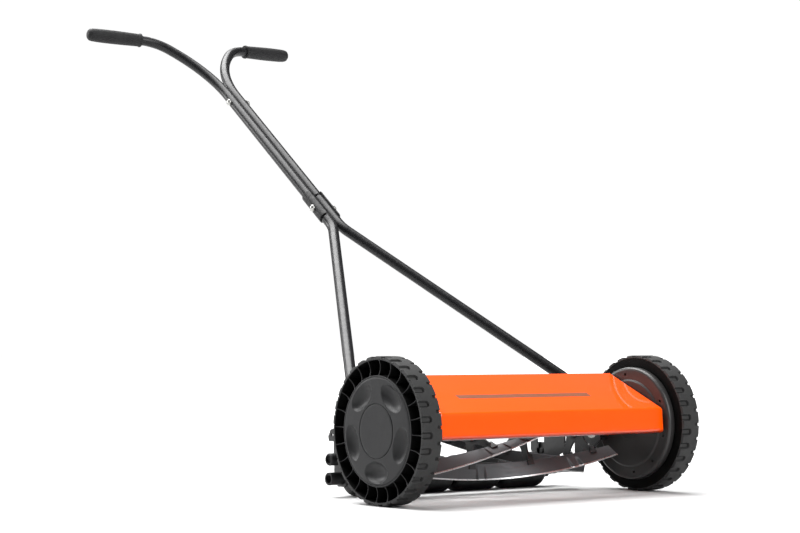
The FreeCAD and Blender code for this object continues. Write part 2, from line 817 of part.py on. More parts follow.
def make_reel_spiders():
    """Four five-armed plates that carry the blades' inner edges."""
    inner, outer = number("spider_inner_station"), number("spider_outer_station")
    thick = number("spider_thickness")
    reach = number("reel_radius") - number("blade_width") - 0.1
    for index, station in enumerate((-outer, -inner, inner, outer)):
        arms = [Part.makeCylinder(19.0, thick, V(station - thick / 2, 0, 0), X_AXIS)]
        for blade in range(int(number("blade_count"))):
            angle = number("blade_start_angle") - 72.0 * blade + number("blade_twist") * station
            arm = Part.makeBox(thick, reach, 15.0, V(station - thick / 2, 0, -7.5))
            arm.rotate(V(0, 0, 0), X_AXIS, angle)
            arms.append(arm)
        star = arms[0].multiFuse(arms[1:]).removeSplitter()
        star = star.cut(cross_cylinder(station - thick, station + thick, number("shaft_radius"), 0, 0))
        free_shape("reel_spider_" + str(index + 1), star, reel_placement())


def make_reel_shaft():
    """Shaft of the reel with smaller journals that run out through both dishes."""
    step = size("plate_station") - 0.6
    end = size("shaft_half_length")
    body = new_body("reel_shaft", FreeCAD.Placement(V(0, reel_row_y(), reel_row_z()), FreeCAD.Rotation(Y_AXIS, 90)))
    revolve(body, [
        (0, -end),
        (size("journal_radius"), -end),
        (size("journal_radius"), -step),
        (size("shaft_radius"), -step),
        (size("shaft_radius"), step),
        (size("journal_radius"), step),
        (size("journal_radius"), end),
        (0, end),
    ])


# ---------------------------------------------------------------- roller and height setting

def make_roller_segments():
    """Four hollow roller lengths side by side on one axle, with rounded shoulders."""
    half = (size("roller_pitch") - size("roller_gap")) / 2.0
    radius, bore = size("roller_radius"), size("roller_axle_radius") + size("running_gap")
    shoulder = number("roller_shoulder")
    for index in range(4):
        centre = number("roller_pitch") * (index - 1.5)
        turn = FreeCAD.Rotation(Y_AXIS, 90)
        place = FreeCAD.Placement(V(centre, number("axle_y") + number("roller_y"), number("roller_radius")), turn)
        body = new_body("roller_segment_" + str(index + 1), place)
        revolve(body, [(bore, -half), (radius, -half), (radius, half), (bore, half)])
        doc.recompute()
        solid = body.Tip
        rims = [
            "Edge" + str(position)
            for position, edge in enumerate(solid.Shape.Edges, start=1)
            if abs(edge.Length - 2 * math.pi * number("roller_radius")) < 0.5
        ]
        fillet = body.newObject("PartDesign::Fillet", "Shoulders")
        fillet.Base = (solid, rims)
        fillet.Radius = shoulder
        fillet.setExpression("Radius", "Dims.roller_shoulder")
        body.Tip = fillet
        for name, sign in (("LeftHollow", -1), ("RightHollow", 1)):
            groove(body, [
                (10.0, sign * 2.0),
                (25.0, sign * 2.0),
                (25.0, sign * 36.0),
                (17.0, sign * 43.0),
                (12.0, sign * 43.0),
                (12.0, half * sign),
                (10.0, half * sign),
            ], name)


def make_roller_axle():
    """Rod through the roller, the two hanging brackets and the hollow end caps."""
    y, z = number("axle_y") + number("roller_y"), number("roller_radius")
    cap_end = size("bracket_station") + 26.0
    turn = FreeCAD.Rotation(Y_AXIS, 90)
    rod = new_body("roller_axle", FreeCAD.Placement(V(0, y, z), turn))
    end = cap_end - 8.0
    radius = size("roller_axle_radius")
    collar_out, collar_in = size("plate_station") - 0.6, size("roller_pitch") * 2.0 + 0.3
    revolve(rod, [
        (0, -end),
        (radius, -end),
        (radius, -collar_out),
        (radius + 3.0, -collar_out),
        (radius + 3.0, -collar_in),
        (radius, -collar_in),
        (radius, collar_in),
        (radius + 3.0, collar_in),
        (radius + 3.0, collar_out),
        (radius, collar_out),
        (radius, end),
        (0, end),
    ])
    caps = []
    start = number("bracket_station") + number("bracket_thickness")
    for _, side in SIDES:
        stop = start + 23.0
        cap = cross_cylinder(side * start, side * stop, 9.5, number("roller_y"), z)
        bore = cross_cylinder(side * start, side * (stop - 8.0), number("roller_axle_radius"), number("roller_y"), z)
        mouth = cross_cylinder(side * (stop - 8.0), side * stop, 7.0, number("roller_y"), z)
        caps.append(cap.cut(bore).cut(mouth))
    free_shape("roller_end_caps", Part.makeCompound(caps), axle_frame())


def make_roller_bracket(name, side):
    """Hanging strap that holds the roller axle below and the height knob above."""
    y, z = size("roller_y"), size("roller_radius")
    outline = [
        (y - 9.0, z - 13.0),
        (y - 13.5, z - 6.0),
        (y - 13.5, z + size("knob_rise") + 8.0),
        (y - 8.0, z + size("knob_rise") + 14.0),
        (y + 12.0, z + size("knob_rise") + 14.0),
        (y + 19.0, z + size("knob_rise") + 6.0),
        (y + 19.0, z - 4.0),
        (y + 9.0, z - 13.0),
    ]
    holes = [
        (y, z, size("roller_axle_radius")),
        (y, z + size("knob_rise"), 4.05),
    ]
    side_sheet("roller_bracket_" + name, side, "bracket_station", "bracket_thickness", outline, holes)


def make_height_knob(name, side):
    """Spring plunger: round knob outside the bracket, stem through it into the notched slot."""
    start = size("bracket_station") + size("bracket_thickness") + 5.0
    radius = size("knob_radius")
    place = outward(side, number("roller_y"), number("roller_radius") + number("knob_rise"))
    body = new_body("height_knob_" + name, place)
    revolve(body, [
        (0, size("plate_station") + 0.3),
        (4.0, size("plate_station") + 0.3),
        (4.0, start),
        (radius - 1.0, start),
        (radius, start + 1.0),
        (radius, start + 17.0),
        (radius - 1.2, start + 18.0),
        (radius - 3.0, start + 18.0),
        (radius - 3.4, start + 15.5),
        (0, start + 15.5),
    ])


# ---------------------------------------------------------------- handle

def bent_path(points, radii):
    """Wire of straight runs joined by tangent arcs of the given radii."""
    edges = []
    previous = points[0]
    for corner, radius, before, after in zip(points[1:-1], radii, points[:-2], points[2:]):
        arrive, leave = (before - corner).normalize(), (after - corner).normalize()
        half_turn = arrive.getAngle(leave) / 2
        back_off = radius / math.tan(half_turn)
        start, stop = corner + arrive * back_off, corner + leave * back_off
        middle_way = (arrive + leave).normalize()
        centre = corner + middle_way * (radius / math.sin(half_turn))
        edges.append(Part.makeLine(previous, start))
        edges.append(Part.Arc(start, centre - middle_way * radius, stop).toShape())
        previous = stop
    edges.append(Part.makeLine(previous, points[-1]))
    return Part.Wire(edges)


def tube_along(path, radius, wall):
    """Round tube swept along a bent path."""
    start = path.Edges[0]
    point, direction = start.valueAt(start.FirstParameter), start.tangentAt(start.FirstParameter)
    rods = []
    for size_now in (radius, radius - wall):
        ring = Part.Wire(Part.makeCircle(size_now, point, direction))
        rods.append(path.makePipeShell([ring], True, False))
    return rods[0].cut(rods[1])


def clamp_line(distance):
    """Point on the straight middle of the handle, measured upwards from the clamp bolt."""
    slope = math.radians(number("clamp_slope"))
    y = number("clamp_y") + distance * math.cos(slope)
    return V(0, y, number("clamp_z") + distance * math.sin(slope))


def make_lower_tube(name, side):
    """Lower handle tube: from the pivot in the side frame up and inwards to the clamp."""
    wide = V(number("pivot_station") * side, 0, 0)
    slim = V(number("tube_side_offset") * side, 0, 0)
    pivot = V(0, number("pivot_y"), number("pivot_z"))
    rise = V(0, 0.804, 0.595)
    points = [pivot - rise * 11.0 + wide, pivot + rise * 79.0 + wide, clamp_line(-56.0) + slim]
    points.append(clamp_line(31.0) + slim)
    tube = tube_along(bent_path(points, (45.0, 60.0)), number("tube_radius"), number("tube_wall"))
    station = number("pivot_station") * side
    tube = tube.cut(cross_cylinder(station - 12, station + 12, 4.05, number("pivot_y"), number("pivot_z")))
    bolt = clamp_line(0.0)
    tube = tube.cut(cross_cylinder(-25.0, 25.0, 3.05, bolt.y, bolt.z))
    free_shape("lower_tube_" + name, tube, axle_frame())


def grip_line(side, station):
    """Point on the straight outer end of an upper tube, at a distance from the middle plane."""
    elbow, tip = V(85.2, 944.8, 806.7), V(217.2, 958.9, 809.9)
    point = elbow + (tip - elbow) * ((station - elbow.x) / (tip.x - elbow.x))
    return V(point.x * side, point.y, point.z)


def make_upper_tube(name, side):
    """Upper handle tube: beside its twin from the clamp, then a wide bend out to its grip."""
    slim = V(number("tube_side_offset") * side, 0, 0)
    points = [clamp_line(36.0) + slim, clamp_line(446.0) + slim, grip_line(side, 85.2)]
    points.append(grip_line(side, number("grip_outer_x") - 4.0))
    tube = tube_along(bent_path(points, (230.0, 74.0)), number("tube_radius"), number("tube_wall"))
    bolt = clamp_line(UPPER_BOLT_DISTANCE)
    tube = tube.cut(cross_cylinder(-25.0, 25.0, 2.55, bolt.y, bolt.z))
    free_shape("upper_tube_" + name, tube, axle_frame())


def make_grip(name, side):
    """Moulded grip: slightly barrelled, with a collar inside and a rounded closed end."""
    inner, outer = number("grip_inner_x"), number("grip_outer_x")
    start = grip_line(side, inner)
    along = (grip_line(side, outer) - start).normalize()
    length = outer - inner + 3.0
    full, bore = number("grip_radius"), number("tube_radius") + 0.02
    outline = [
        V(bore, 0, 0), V(full - 1.2, 0, 0), V(full - 0.2, 0, 1.5), V(full - 0.8, 0, 6.0), V(full - 0.6, 0, 20.0),
        V(full, 0, 0.5 * length), V(full - 0.3, 0, 0.8 * length), V(full - 1.6, 0, 0.95 * length),
        V(full - 4.0, 0, 0.99 * length), V(0, 0, length), V(0, 0, length - 6.0), V(bore, 0, length - 6.0),
    ]
    solid = Part.Face(Part.makePolygon(outline + [outline[0]])).revolve(V(0, 0, 0), Z_AXIS, 360)
    turn = FreeCAD.Rotation(Z_AXIS, along)
    free_shape("grip_" + name, solid, FreeCAD.Placement(start + V(0, number("axle_y"), 0), turn))


def make_saddle(name, side):
    """Half-shell saddle outside one pair of tube ends, with a short strap across the front."""
    slope = number("clamp_slope")
    offset = number("tube_side_offset")
    radius = number("tube_radius") + 0.1
    length = 68.0
    shell = Part.makeCylinder(radius + 2.6, length, V(0, 0, 0), Z_AXIS)
    shell = shell.cut(Part.makeCylinder(radius, length, V(0, 0, 0), Z_AXIS))
    keep = Part.makeBox(20.0, 40.0, length, V(2.0 if side == RIGHT else -22.0, -20.0, 0))
    shell = shell.common(keep)
    strap = Part.makeBox(offset + 4.0, 2.6, 9.0, V(-offset + 0.15 if side == RIGHT else -4.0 - 0.15, -radius - 2.6, 56.0))
    shell = shell.fuse(strap).removeSplitter()
    shell = shell.cut(Part.makeCylinder(3.05, 60.0, V(-30.0, 0, 29.0), X_AXIS))
    lower_end = clamp_line(-29.0) + V(offset * side, number("axle_y"), 0)
    # The shell's length runs up the handle and its front faces the cutting side.
    turn = FreeCAD.Rotation(X_AXIS, -(90.0 - slope))
    free_shape("clamp_saddle_" + name, shell, FreeCAD.Placement(lower_end, turn))


def make_handle_bolts():
    """The two cross bolts of the handle, with domed heads and hexagon nuts."""
    bolts = []
    reach = number("tube_side_offset") + number("tube_radius") + 2.8
    for distance, outer, radius in ((0.0, reach, 3.0), (UPPER_BOLT_DISTANCE, reach - 2.5, 2.5)):
        spot = clamp_line(distance)
        shank = cross_cylinder(-outer - 1, outer + 1, radius, spot.y, spot.z)
        head = cross_cylinder(-outer - 4.5, -outer, 6.0, spot.y, spot.z)
        dome = Part.makeSphere(7.2, V(-outer - 1.2, spot.y, spot.z), X_AXIS).common(
            cross_cylinder(-outer - 8, -outer, 6.0, spot.y, spot.z))
        nut = hex_head(outer, outer + 5.0, 10.0, spot.y, spot.z)
        bolts.append(shank.multiFuse([head.common(dome), nut]).removeSplitter())
    free_shape("handle_bolts", Part.makeCompound(bolts), axle_frame())


def make_pivot_bolts():
    """Bolts on which the handle swings, and the stop pins that its tubes rest on."""
    bolts = []
    y, z = number("pivot_y"), number("pivot_z")
    stop_y, stop_z = y + 20.9 + 7.95, z + 15.5 - 10.75
    for _, side in SIDES:
        plate, dish = number("plate_station"), number("dish_station")
        shank = cross_cylinder(side * (plate - 0.4), side * (dish + 7.0), 4.0, y, z)
        nut = hex_head(side * (dish + 4.4), side * (dish + 8.0), 10.0, y, z)
        bolts.append(shank.fuse(nut).removeSplitter())
        bolts.append(cross_cylinder(side * (plate + 3.0), side * (dish - 2.0), 4.0, stop_y, stop_z))
    free_shape("pivot_bolts", Part.makeCompound(bolts), axle_frame())


# ---------------------------------------------------------------- assembly

def build():
    """Make every sub-part."""
    for name, side in SIDES:
        make_wheel(name, side)
        make_tyre(name, side)
        make_hub_cap(name, side)
        make_gears(name, side)
        make_wheel_bearing(name, side)
        make_dish(name, side)
        make_side_plate(name, side)
        make_bearing(name, side)
        make_roller_bracket(name, side)
        make_height_knob(name, side)
        make_lower_tube(name, side)
        make_upper_tube(name, side)
        make_saddle(name, side)
        make_grip(name, side)
    make_axle_retainers()
    make_hood()
    make_hood_fasteners()
    make_tie_rod()
    make_bed_knife()
    make_reel_shaft()
    make_reel_spiders()
    make_reel_blades()
    make_roller_segments()
    make_roller_axle()
    make_handle_bolts()
    make_pivot_bolts()


def check_and_write():
    """Refuse failed features, then write each sub-part under its own name."""
    doc.recompute()
    for item in doc.Objects:
        if "Invalid" in item.State or "Error" in item.State:
            raise RuntimeError("failed feature: " + item.Name + " in " + item.Label)
    for item in subparts:
        shape = item.Shape
        if shape.isNull() or not shape.isValid() or shape.Volume <= 0:
            raise RuntimeError("bad shape: " + item.Label)
    os.makedirs("parts", exist_ok=True)
    for item in subparts:
        item.Shape.exportStep(os.path.join("parts", item.Label + ".step"))
        print(item.Label, "solids", len(item.Shape.Solids), "volume", round(item.Shape.Volume, 1))


build()
check_and_write()
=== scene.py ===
"""Push reel mower: the visible surfaces and finishes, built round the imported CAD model.

Shape code works in millimetres in the axle frame: X to the mower's right, Y backwards from the wheel
axle, Z up from the floor. put() turns those into metres in the row frame.
"""
from math import asin, cos, degrees, hypot, pi, radians, remainder, sin, sqrt, tan

import bmesh
import bpy
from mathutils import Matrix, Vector


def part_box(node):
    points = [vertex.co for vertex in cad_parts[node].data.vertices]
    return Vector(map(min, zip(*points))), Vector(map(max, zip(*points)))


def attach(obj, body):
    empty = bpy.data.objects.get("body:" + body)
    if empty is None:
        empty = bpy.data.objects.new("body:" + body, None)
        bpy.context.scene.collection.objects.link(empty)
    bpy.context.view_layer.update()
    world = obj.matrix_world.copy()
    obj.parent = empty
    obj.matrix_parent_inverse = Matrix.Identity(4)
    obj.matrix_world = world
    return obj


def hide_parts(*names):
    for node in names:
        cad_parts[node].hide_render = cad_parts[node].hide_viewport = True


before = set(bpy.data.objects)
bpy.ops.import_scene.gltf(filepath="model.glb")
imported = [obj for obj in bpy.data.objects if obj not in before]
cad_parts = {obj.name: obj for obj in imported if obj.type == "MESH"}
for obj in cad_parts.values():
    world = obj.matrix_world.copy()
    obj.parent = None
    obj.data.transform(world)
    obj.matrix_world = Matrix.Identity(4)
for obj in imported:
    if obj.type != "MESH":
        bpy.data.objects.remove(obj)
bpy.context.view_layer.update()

MM = 0.001
RIGHT = 1
LEFT = -1
SIDES = (("left", LEFT), ("right", RIGHT))


def centre_of(node):
    """Middle of a CAD node at rest, in metres."""
    low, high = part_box(node)
    return (low + high) / 2


AXLE_Y = centre_of("wheel_left").y
AXLE_UP = centre_of("wheel_left").z / MM


def axle_point(metres):
    """A row-frame point in metres as axle-frame millimetres."""
    return Vector((metres.x, metres.y - AXLE_Y, metres.z)) / MM


# ---- finishes

def linear(red, green, blue):
    """An sRGB colour given as 0 to 255, as linear values with alpha."""
    channels = []
    for value in (red, green, blue):
        share = value / 255.0
        channels.append(share / 12.92 if share <= 0.04045 else ((share + 0.055) / 1.055) ** 2.4)
    return (*channels, 1.0)


def tinted(colour, factor):
    """A colour made lighter or darker."""
    return (*(min(1.0, channel * factor) for channel in colour[:3]), 1.0)


class Finish:
    """A procedural material under construction: a Principled shader and the nodes that feed it."""

    def __init__(self, name):
        self.material = bpy.data.materials.new(name)
        self.material.use_nodes = True
        self.tree = self.material.node_tree
        self.shader = self.tree.nodes["Principled BSDF"]
        self.position = self.new("ShaderNodeTexCoord").outputs["Object"]

    def new(self, kind):
        """Add a node of a kind."""
        return self.tree.nodes.new(kind)

    def link(self, output, target):
        """Join a node's output to an input."""
        self.tree.links.new(output, target)

    def fixed(self, **values):
        """Numbers that are the same all over, set on the shader's own sockets."""
        for key, value in values.items():
            self.shader.inputs[key.replace("_", " ")].default_value = value

    def noise(self, scale, detail=4.0, roughness=0.55, stretch=(1, 1, 1)):
        """Noise in object space; scale is in features to a metre."""
        mapping = self.new("ShaderNodeMapping")
        mapping.inputs["Scale"].default_value = stretch
        self.link(self.position, mapping.inputs["Vector"])
        texture = self.new("ShaderNodeTexNoise")
        texture.inputs["Scale"].default_value = scale
        texture.inputs["Detail"].default_value = detail
        texture.inputs["Roughness"].default_value = roughness
        self.link(mapping.outputs["Vector"], texture.inputs["Vector"])
        return texture.outputs["Fac"]

    def height(self):
        """Height above the floor at rest, in metres, for pieces drawn in the row frame."""
        node = self.new("ShaderNodeSeparateXYZ")
        self.link(self.position, node.inputs["Vector"])
        return node.outputs["Z"]

    def spread(self, value, low, high, start=0.3, stop=0.7):
        """Stretch a value between start and stop over low to high."""
        node = self.new("ShaderNodeMapRange")
        node.inputs["From Min"].default_value = start
        node.inputs["From Max"].default_value = stop
        node.inputs["To Min"].default_value = low
        node.inputs["To Max"].default_value = high
        self.link(value, node.inputs["Value"])
        return node.outputs["Result"]

    def times(self, first, second):
        """Product of two outputs."""
        node = self.new("ShaderNodeMath")
        node.operation = "MULTIPLY"
        self.link(first, node.inputs[0])
        self.link(second, node.inputs[1])
        return node.outputs["Value"]

    def mix(self, factor, first, second):
        """Blend two colours; each is a colour or another node's output."""
        node = self.new("ShaderNodeMix")
        node.data_type = "RGBA"
        self.link(factor, node.inputs["Factor"])
        for socket, item in ((node.inputs["A"], first), (node.inputs["B"], second)):
            if isinstance(item, tuple):
                socket.default_value = item
            else:
                self.link(item, socket)
        return node.outputs["Result"]

    def edges(self):
        """How sharply the surface bulges: 1 on worn corners, 0 on flats."""
        bulge = self.new("ShaderNodeNewGeometry").outputs["Pointiness"]
        return self.spread(bulge, 0.0, 1.0, 0.515, 0.6)

    def haze(self, low, high, scale, detail=5.0):
        """Roughness that drifts between two values."""
        self.rough(self.noise(scale, detail), low, high)

    def rough(self, value, low, high):
        """Roughness that follows a value from low to high."""
        self.link(self.spread(value, low, high), self.shader.inputs["Roughness"])

    def relief(self, layers):
        """Stack bump layers, each (height, depth in mm, strength)."""
        previous = None
        for height, depth, strength in layers:
            bump = self.new("ShaderNodeBump")
            bump.inputs["Strength"].default_value = strength
            bump.inputs["Distance"].default_value = depth * MM
            self.link(height, bump.inputs["Height"])
            if previous is not None:
                self.link(previous, bump.inputs["Normal"])
            previous = bump.outputs["Normal"]
        self.link(previous, self.shader.inputs["Normal"])

    def grain(self, scale, depth, strength, detail=2.0):
        """One bump layer of plain noise."""
        self.relief([(self.noise(scale, detail), depth, strength)])


def drifting(finish, colour, spread, scale):
    """An sRGB colour made unevenly darker and lighter by a share."""
    tone = linear(*colour)
    drift = finish.spread(finish.noise(scale, 5.0), 0.0, 1.0, 0.32, 0.68)
    return finish.mix(drift, tinted(tone, 1.0 - spread), tinted(tone, 1.0 + spread))


def coloured(finish, colour, spread, scale, worn=None, worn_share=0.0):
    """Base colour that drifts round a tone, with corners worn to a second colour if one is given."""
    base = drifting(finish, colour, spread, scale)
    if worn is not None:
        rub = finish.spread(finish.noise(scale * 9.0, 3.0), 0.25 * worn_share, worn_share, 0.35, 0.65)
        base = finish.mix(finish.times(finish.edges(), rub), base, linear(*worn))
    finish.link(base, finish.shader.inputs["Base Color"])


# Heights, in metres, over which the hood's lower lip fades into painted shade; below them it is fully
# dark.
SHADE_LIP_LOW = 0.0965
SHADE_LIP_HIGH = 0.1035


def orange_paint():
    """Gloss enamel on pressed sheet: faint orange peel, slight drift in tone, painted shade on the lower
    lip.
    """
    finish = Finish("orange_enamel")
    base = drifting(finish, (252, 82, 0), 0.015, 14.0)
    # Painted shade: below these heights the base colour turns dark orange.
    lip = finish.spread(finish.height(), 0.0, 1.0, SHADE_LIP_LOW, SHADE_LIP_HIGH)
    finish.link(finish.mix(lip, linear(128, 26, 0), base), finish.shader.inputs["Base Color"])
    finish.haze(0.3, 0.36, 40.0)
    finish.fixed(Coat_Weight=1.0, Coat_Roughness=0.05, Specular_IOR_Level=0.08)
    finish.grain(420.0, 0.01, 0.12)
    return finish.material


def graphite_paint():
    """Dark grey half-gloss paint on the round side covers."""
    finish = Finish("graphite_gloss")
    coloured(finish, (42, 41, 41), 0.03, 18.0)
    finish.haze(0.38, 0.44, 55.0)
    finish.fixed(Coat_Weight=0.15, Coat_Roughness=0.25, Specular_IOR_Level=0.35)
    finish.grain(500.0, 0.02, 0.3)
    return finish.material


def black_paint():
    """Satin black on cut steel plate, faintly cloudy."""
    finish = Finish("black_satin")
    coloured(finish, (28, 28, 29), 0.08, 30.0)
    finish.haze(0.38, 0.55, 80.0)
    finish.fixed(Coat_Weight=0.15, Coat_Roughness=0.3)
    finish.grain(900.0, 0.02, 0.35)
    return finish.material


def blade_steel():
    """Rolled steel strip, blued and slightly oiled, with drawn marks along the reel."""
    finish = Finish("blade_flat")
    coloured(finish, (88, 88, 90), 0.05, 26.0)
    marks = finish.noise(260.0, 3.0, 0.6, (0.05, 1.0, 1.0))
    finish.rough(marks, 0.36, 0.5)
    finish.fixed(Metallic=0.6, Specular_IOR_Level=0.3)
    finish.relief([(marks, 0.02, 0.25), (finish.noise(1200.0, 2.0), 0.01, 0.3)])
    return finish.material


def ground_steel():
    """Freshly ground cutting edge with fine crossways scratches."""
    finish = Finish("blade_edge")
    coloured(finish, (205, 205, 206), 0.12, 70.0)
    scratches = finish.noise(3000.0, 2.0, 0.6, (1.0, 0.06, 0.06))
    finish.rough(scratches, 0.2, 0.38)
    finish.fixed(Metallic=0.9)
    finish.relief([(scratches, 0.01, 0.5)])
    return finish.material


def zinc_plate():
    """Bright zinc: pale, faintly mottled, soft reflections."""
    finish = Finish("zinc_bright")
    coloured(finish, (168, 168, 165), 0.1, 220.0, (210, 210, 208), 0.6)
    finish.haze(0.22, 0.4, 600.0, 4.0)
    finish.fixed(Metallic=0.9)
    finish.grain(2500.0, 0.01, 0.4)
    return finish.material


def bright_steel():
    """Turned steel with fine rings and a trace of oil."""
    finish = Finish("steel_turned")
    coloured(finish, (165, 164, 160), 0.12, 90.0, (215, 215, 212), 0.5)
    rings = finish.noise(2200.0, 2.0, 0.6, (1.0, 0.04, 0.04))
    finish.rough(rings, 0.2, 0.36)
    finish.fixed(Metallic=0.95)
    finish.relief([(rings, 0.01, 0.4)])
    return finish.material


def wheel_plastic():
    """Dark grey moulded plastic with a fine spark-eroded grain and soft sheen."""
    finish = Finish("plastic_grey")
    coloured(finish, (36, 36, 37), 0.05, 20.0)
    finish.haze(0.42, 0.52, 70.0)
    finish.fixed(Specular_IOR_Level=0.26)
    finish.relief([(finish.noise(2600.0, 2.0), 0.02, 0.4), (finish.noise(140.0, 3.0), 0.05, 0.06)])
    return finish.material


def painted_shade_plastic():
    """The same moulding compound made near black as painted shade, for the wheel's pockets and the outer
    part of its back.
    """
    finish = Finish("plastic_painted_shade")
    coloured(finish, (7, 7, 7), 0.2, 40.0)
    finish.haze(0.55, 0.7, 90.0)
    finish.fixed(Specular_IOR_Level=0.08)
    finish.grain(1800.0, 0.03, 0.4)
    return finish.material


def tread_rubber():
    """Matt tread compound: cloudy bloom, paler corners, fine grain."""
    finish = Finish("rubber_tread")
    coloured(finish, (36, 36, 36), 0.09, 45.0, (74, 74, 74), 0.5)
    finish.haze(0.6, 0.78, 90.0)
    finish.fixed(Specular_IOR_Level=0.35)
    finish.grain(1600.0, 0.04, 0.5, 3.0)
    return finish.material


def bush_bronze():
    """Sintered bronze, porous and oil-dark."""
    finish = Finish("bronze_sintered")
    coloured(finish, (150, 108, 62), 0.18, 240.0, (200, 160, 104), 0.6)
    finish.haze(0.36, 0.52, 400.0, 4.0)
    finish.fixed(Metallic=0.85)
    finish.grain(3000.0, 0.03, 0.5)
    return finish.material


def black_plastic():
    """Black moulded plastic with a leathery fine grain."""
    finish = Finish("plastic_black")
    coloured(finish, (18, 18, 19), 0.12, 35.0)
    finish.haze(0.42, 0.58, 110.0)
    finish.fixed(Specular_IOR_Level=0.3)
    finish.grain(1800.0, 0.03, 0.4)
    return finish.material


def tube_coat():
    """Dark powder coat: soft orange peel that breaks up the long highlights."""
    finish = Finish("powder_dark")
    coloured(finish, (20, 20, 22), 0.06, 24.0)
    finish.haze(0.32, 0.44, 120.0)
    finish.fixed(Coat_Weight=0.05, Coat_Roughness=0.2, Specular_IOR_Level=0.28)
    finish.grain(300.0, 0.004, 0.06)
    return finish.material


def grip_rubber():
    """Soft grip compound: matt, with a fine pebble."""
    finish = Finish("rubber_grip")
    coloured(finish, (27, 27, 28), 0.08, 50.0)
    finish.haze(0.55, 0.72, 160.0, 4.0)
    finish.fixed(Specular_IOR_Level=0.25)
    finish.grain(1500.0, 0.05, 0.5)
    return finish.material


def stripe_film():
    """Thin dark film line on the hood."""
    finish = Finish("film_dark")
    coloured(finish, (120, 66, 40), 0.06, 60.0)
    finish.haze(0.35, 0.45, 200.0, 3.0)
    finish.grain(700.0, 0.01, 0.3)
    return finish.material


def studio_floor():
    """Pale matt floor."""
    finish = Finish("floor_pale")
    coloured(finish, (200, 200, 200), 0.002, 1.2)
    finish.fixed(Specular_IOR_Level=0.0, Roughness=0.9)
    return finish.material


SLOT_FINISHES = (
    orange_paint, graphite_paint, black_paint, blade_steel, zinc_plate, bright_steel, wheel_plastic,
    tread_rubber, bush_bronze, black_plastic, tube_coat, grip_rubber,
)
FINISHES = {make.__name__: make() for make in SLOT_FINISHES}
EDGE_STEEL = ground_steel()
# Near-black copy of the wheel plastic: painted shade for the pockets and the outer back of each wheel.
POCKET_SHADE_PLASTIC = painted_shade_plastic()
STRIPE = stripe_film()


# ---- shape helpers

class Shape:
    """Points and faces of one piece, in axle-frame millimetres."""

    def __init__(self, points=(), faces=()):
        self.points = []
        self.faces = []
        self.marks = []
        self.add(points, faces)

    def add(self, points, faces, mark=0):
        """Append a closed form; mark picks the piece's material for it."""
        base = len(self.points)
        self.points += [Vector(point) for point in points]
        self.faces += [tuple(base + corner for corner in face) for face in faces]
        self.marks += [mark] * len(faces)


def loft(loops, closed=False):
    """Skin a row of equal loops, capped at both ends unless the row closes on itself."""
    count, rows = len(loops[0]), len(loops)
    points = [point for loop in loops for point in loop]
    faces = []
    for row in range(rows if closed else rows - 1):
        here, there = row * count, (row + 1) % rows * count
        for corner in range(count):
            after = (corner + 1) % count
            faces.append((here + corner, here + after, there + after, there + corner))
    if not closed:
        faces.append(tuple(range(count)))
        faces.append(tuple((rows - 1) * count + corner for corner in range(count)))
    return points, faces


def rolled_corner(start, corner, stop, steps):
    """Points of a smooth bend from start to stop that heads for the corner at both ends."""
    bend = []
    for step in range(steps + 1):
        share = step / steps
        bend.append(start.lerp(corner, share).lerp(corner.lerp(stop, share), share))
    return bend


def soften(points, radius, steps=3, least_turn=12.0):
    """Round the corners of a closed two-dimensional outline."""
    count = len(points)
    rounded = []
    for index, corner in enumerate(points):
        here = Vector(corner)
        back = Vector(points[index - 1]) - here
        ahead = Vector(points[(index + 1) % count]) - here
        shorter = min(back.length, ahead.length)
        turn = pi - back.angle(ahead) if shorter > 1e-6 else 0.0
        if degrees(turn) < least_turn:
            rounded.append(tuple(corner))
            continue
        reach = min(radius * tan(turn / 2), shorter * 0.45)
        start, stop = here + back.normalized() * reach, here + ahead.normalized() * reach
        rounded += [tuple(point) for point in rolled_corner(start, here, stop, steps)]
    return rounded


def swung(profile, angle, side=RIGHT, y=0.0, z=AXLE_UP):
    """A (station, radius) outline swung to an angle about a line along X."""
    across, up = cos(angle), sin(angle)
    return [(side * x, y + radius * across, z + radius * up) for x, radius in profile]


def turned(profile, steps, side=RIGHT, y=0.0, z=AXLE_UP):
    """Revolve a closed (station, radius) outline about a line along X."""
    return loft([swung(profile, 2 * pi * step / steps, side, y, z) for step in range(steps)], closed=True)


def heading_pair(angle):
    """Unit vectors out along a heading in the (y, z) plane and square to it."""
    along = Vector((0, cos(angle), sin(angle)))
    return along, Vector((0, -sin(angle), cos(angle)))


def slab(outline, start, stop):
    """A flat (y, z) outline drawn out along X."""
    return loft([[(start, y, z) for y, z in outline], [(stop, y, z) for y, z in outline]])


def bent_line(points, radii, step=6.0):
    """Points along straight runs joined by tangent arcs."""
    line = [Vector(points[0])]
    for index, radius in enumerate(radii, start=1):
        corner = Vector(points[index])
        arrive = (Vector(points[index - 1]) - corner).normalized()
        leave = (Vector(points[index + 1]) - corner).normalized()
        half = arrive.angle(leave) / 2
        back_off = radius / tan(half)
        middle = (arrive + leave).normalized()
        centre = corner + middle * (radius / sin(half))
        start, stop = corner + arrive * back_off, corner + leave * back_off
        spokes = (start - centre, stop - centre)
        sweep = spokes[0].angle(spokes[1])
        count = max(6, int(radius * sweep / step))
        for piece in range(count + 1):
            turn = sweep * piece / count
            blend = spokes[0] * sin(sweep - turn) + spokes[1] * sin(turn)
            line.append(centre + blend / sin(sweep))
    line.append(Vector(points[-1]))
    return line


def along_line(line, section, sides=36):
    """Loops of a round section carried along a line; section gives a radius for each line point."""
    tangents = []
    for index in range(len(line)):
        before, after = line[max(index - 1, 0)], line[min(index + 1, len(line) - 1)]
        tangents.append((after - before).normalized())
    normal = tangents[0].orthogonal().normalized()
    loops = []
    for point, tangent, radius in zip(line, tangents, section):
        normal = (normal - tangent * normal.dot(tangent)).normalized()
        across = tangent.cross(normal)
        loop = []
        for side in range(sides):
            angle = 2 * pi * side / sides
            loop.append(point + (normal * cos(angle) + across * sin(angle)) * radius)
        loops.append(loop)
    return loops


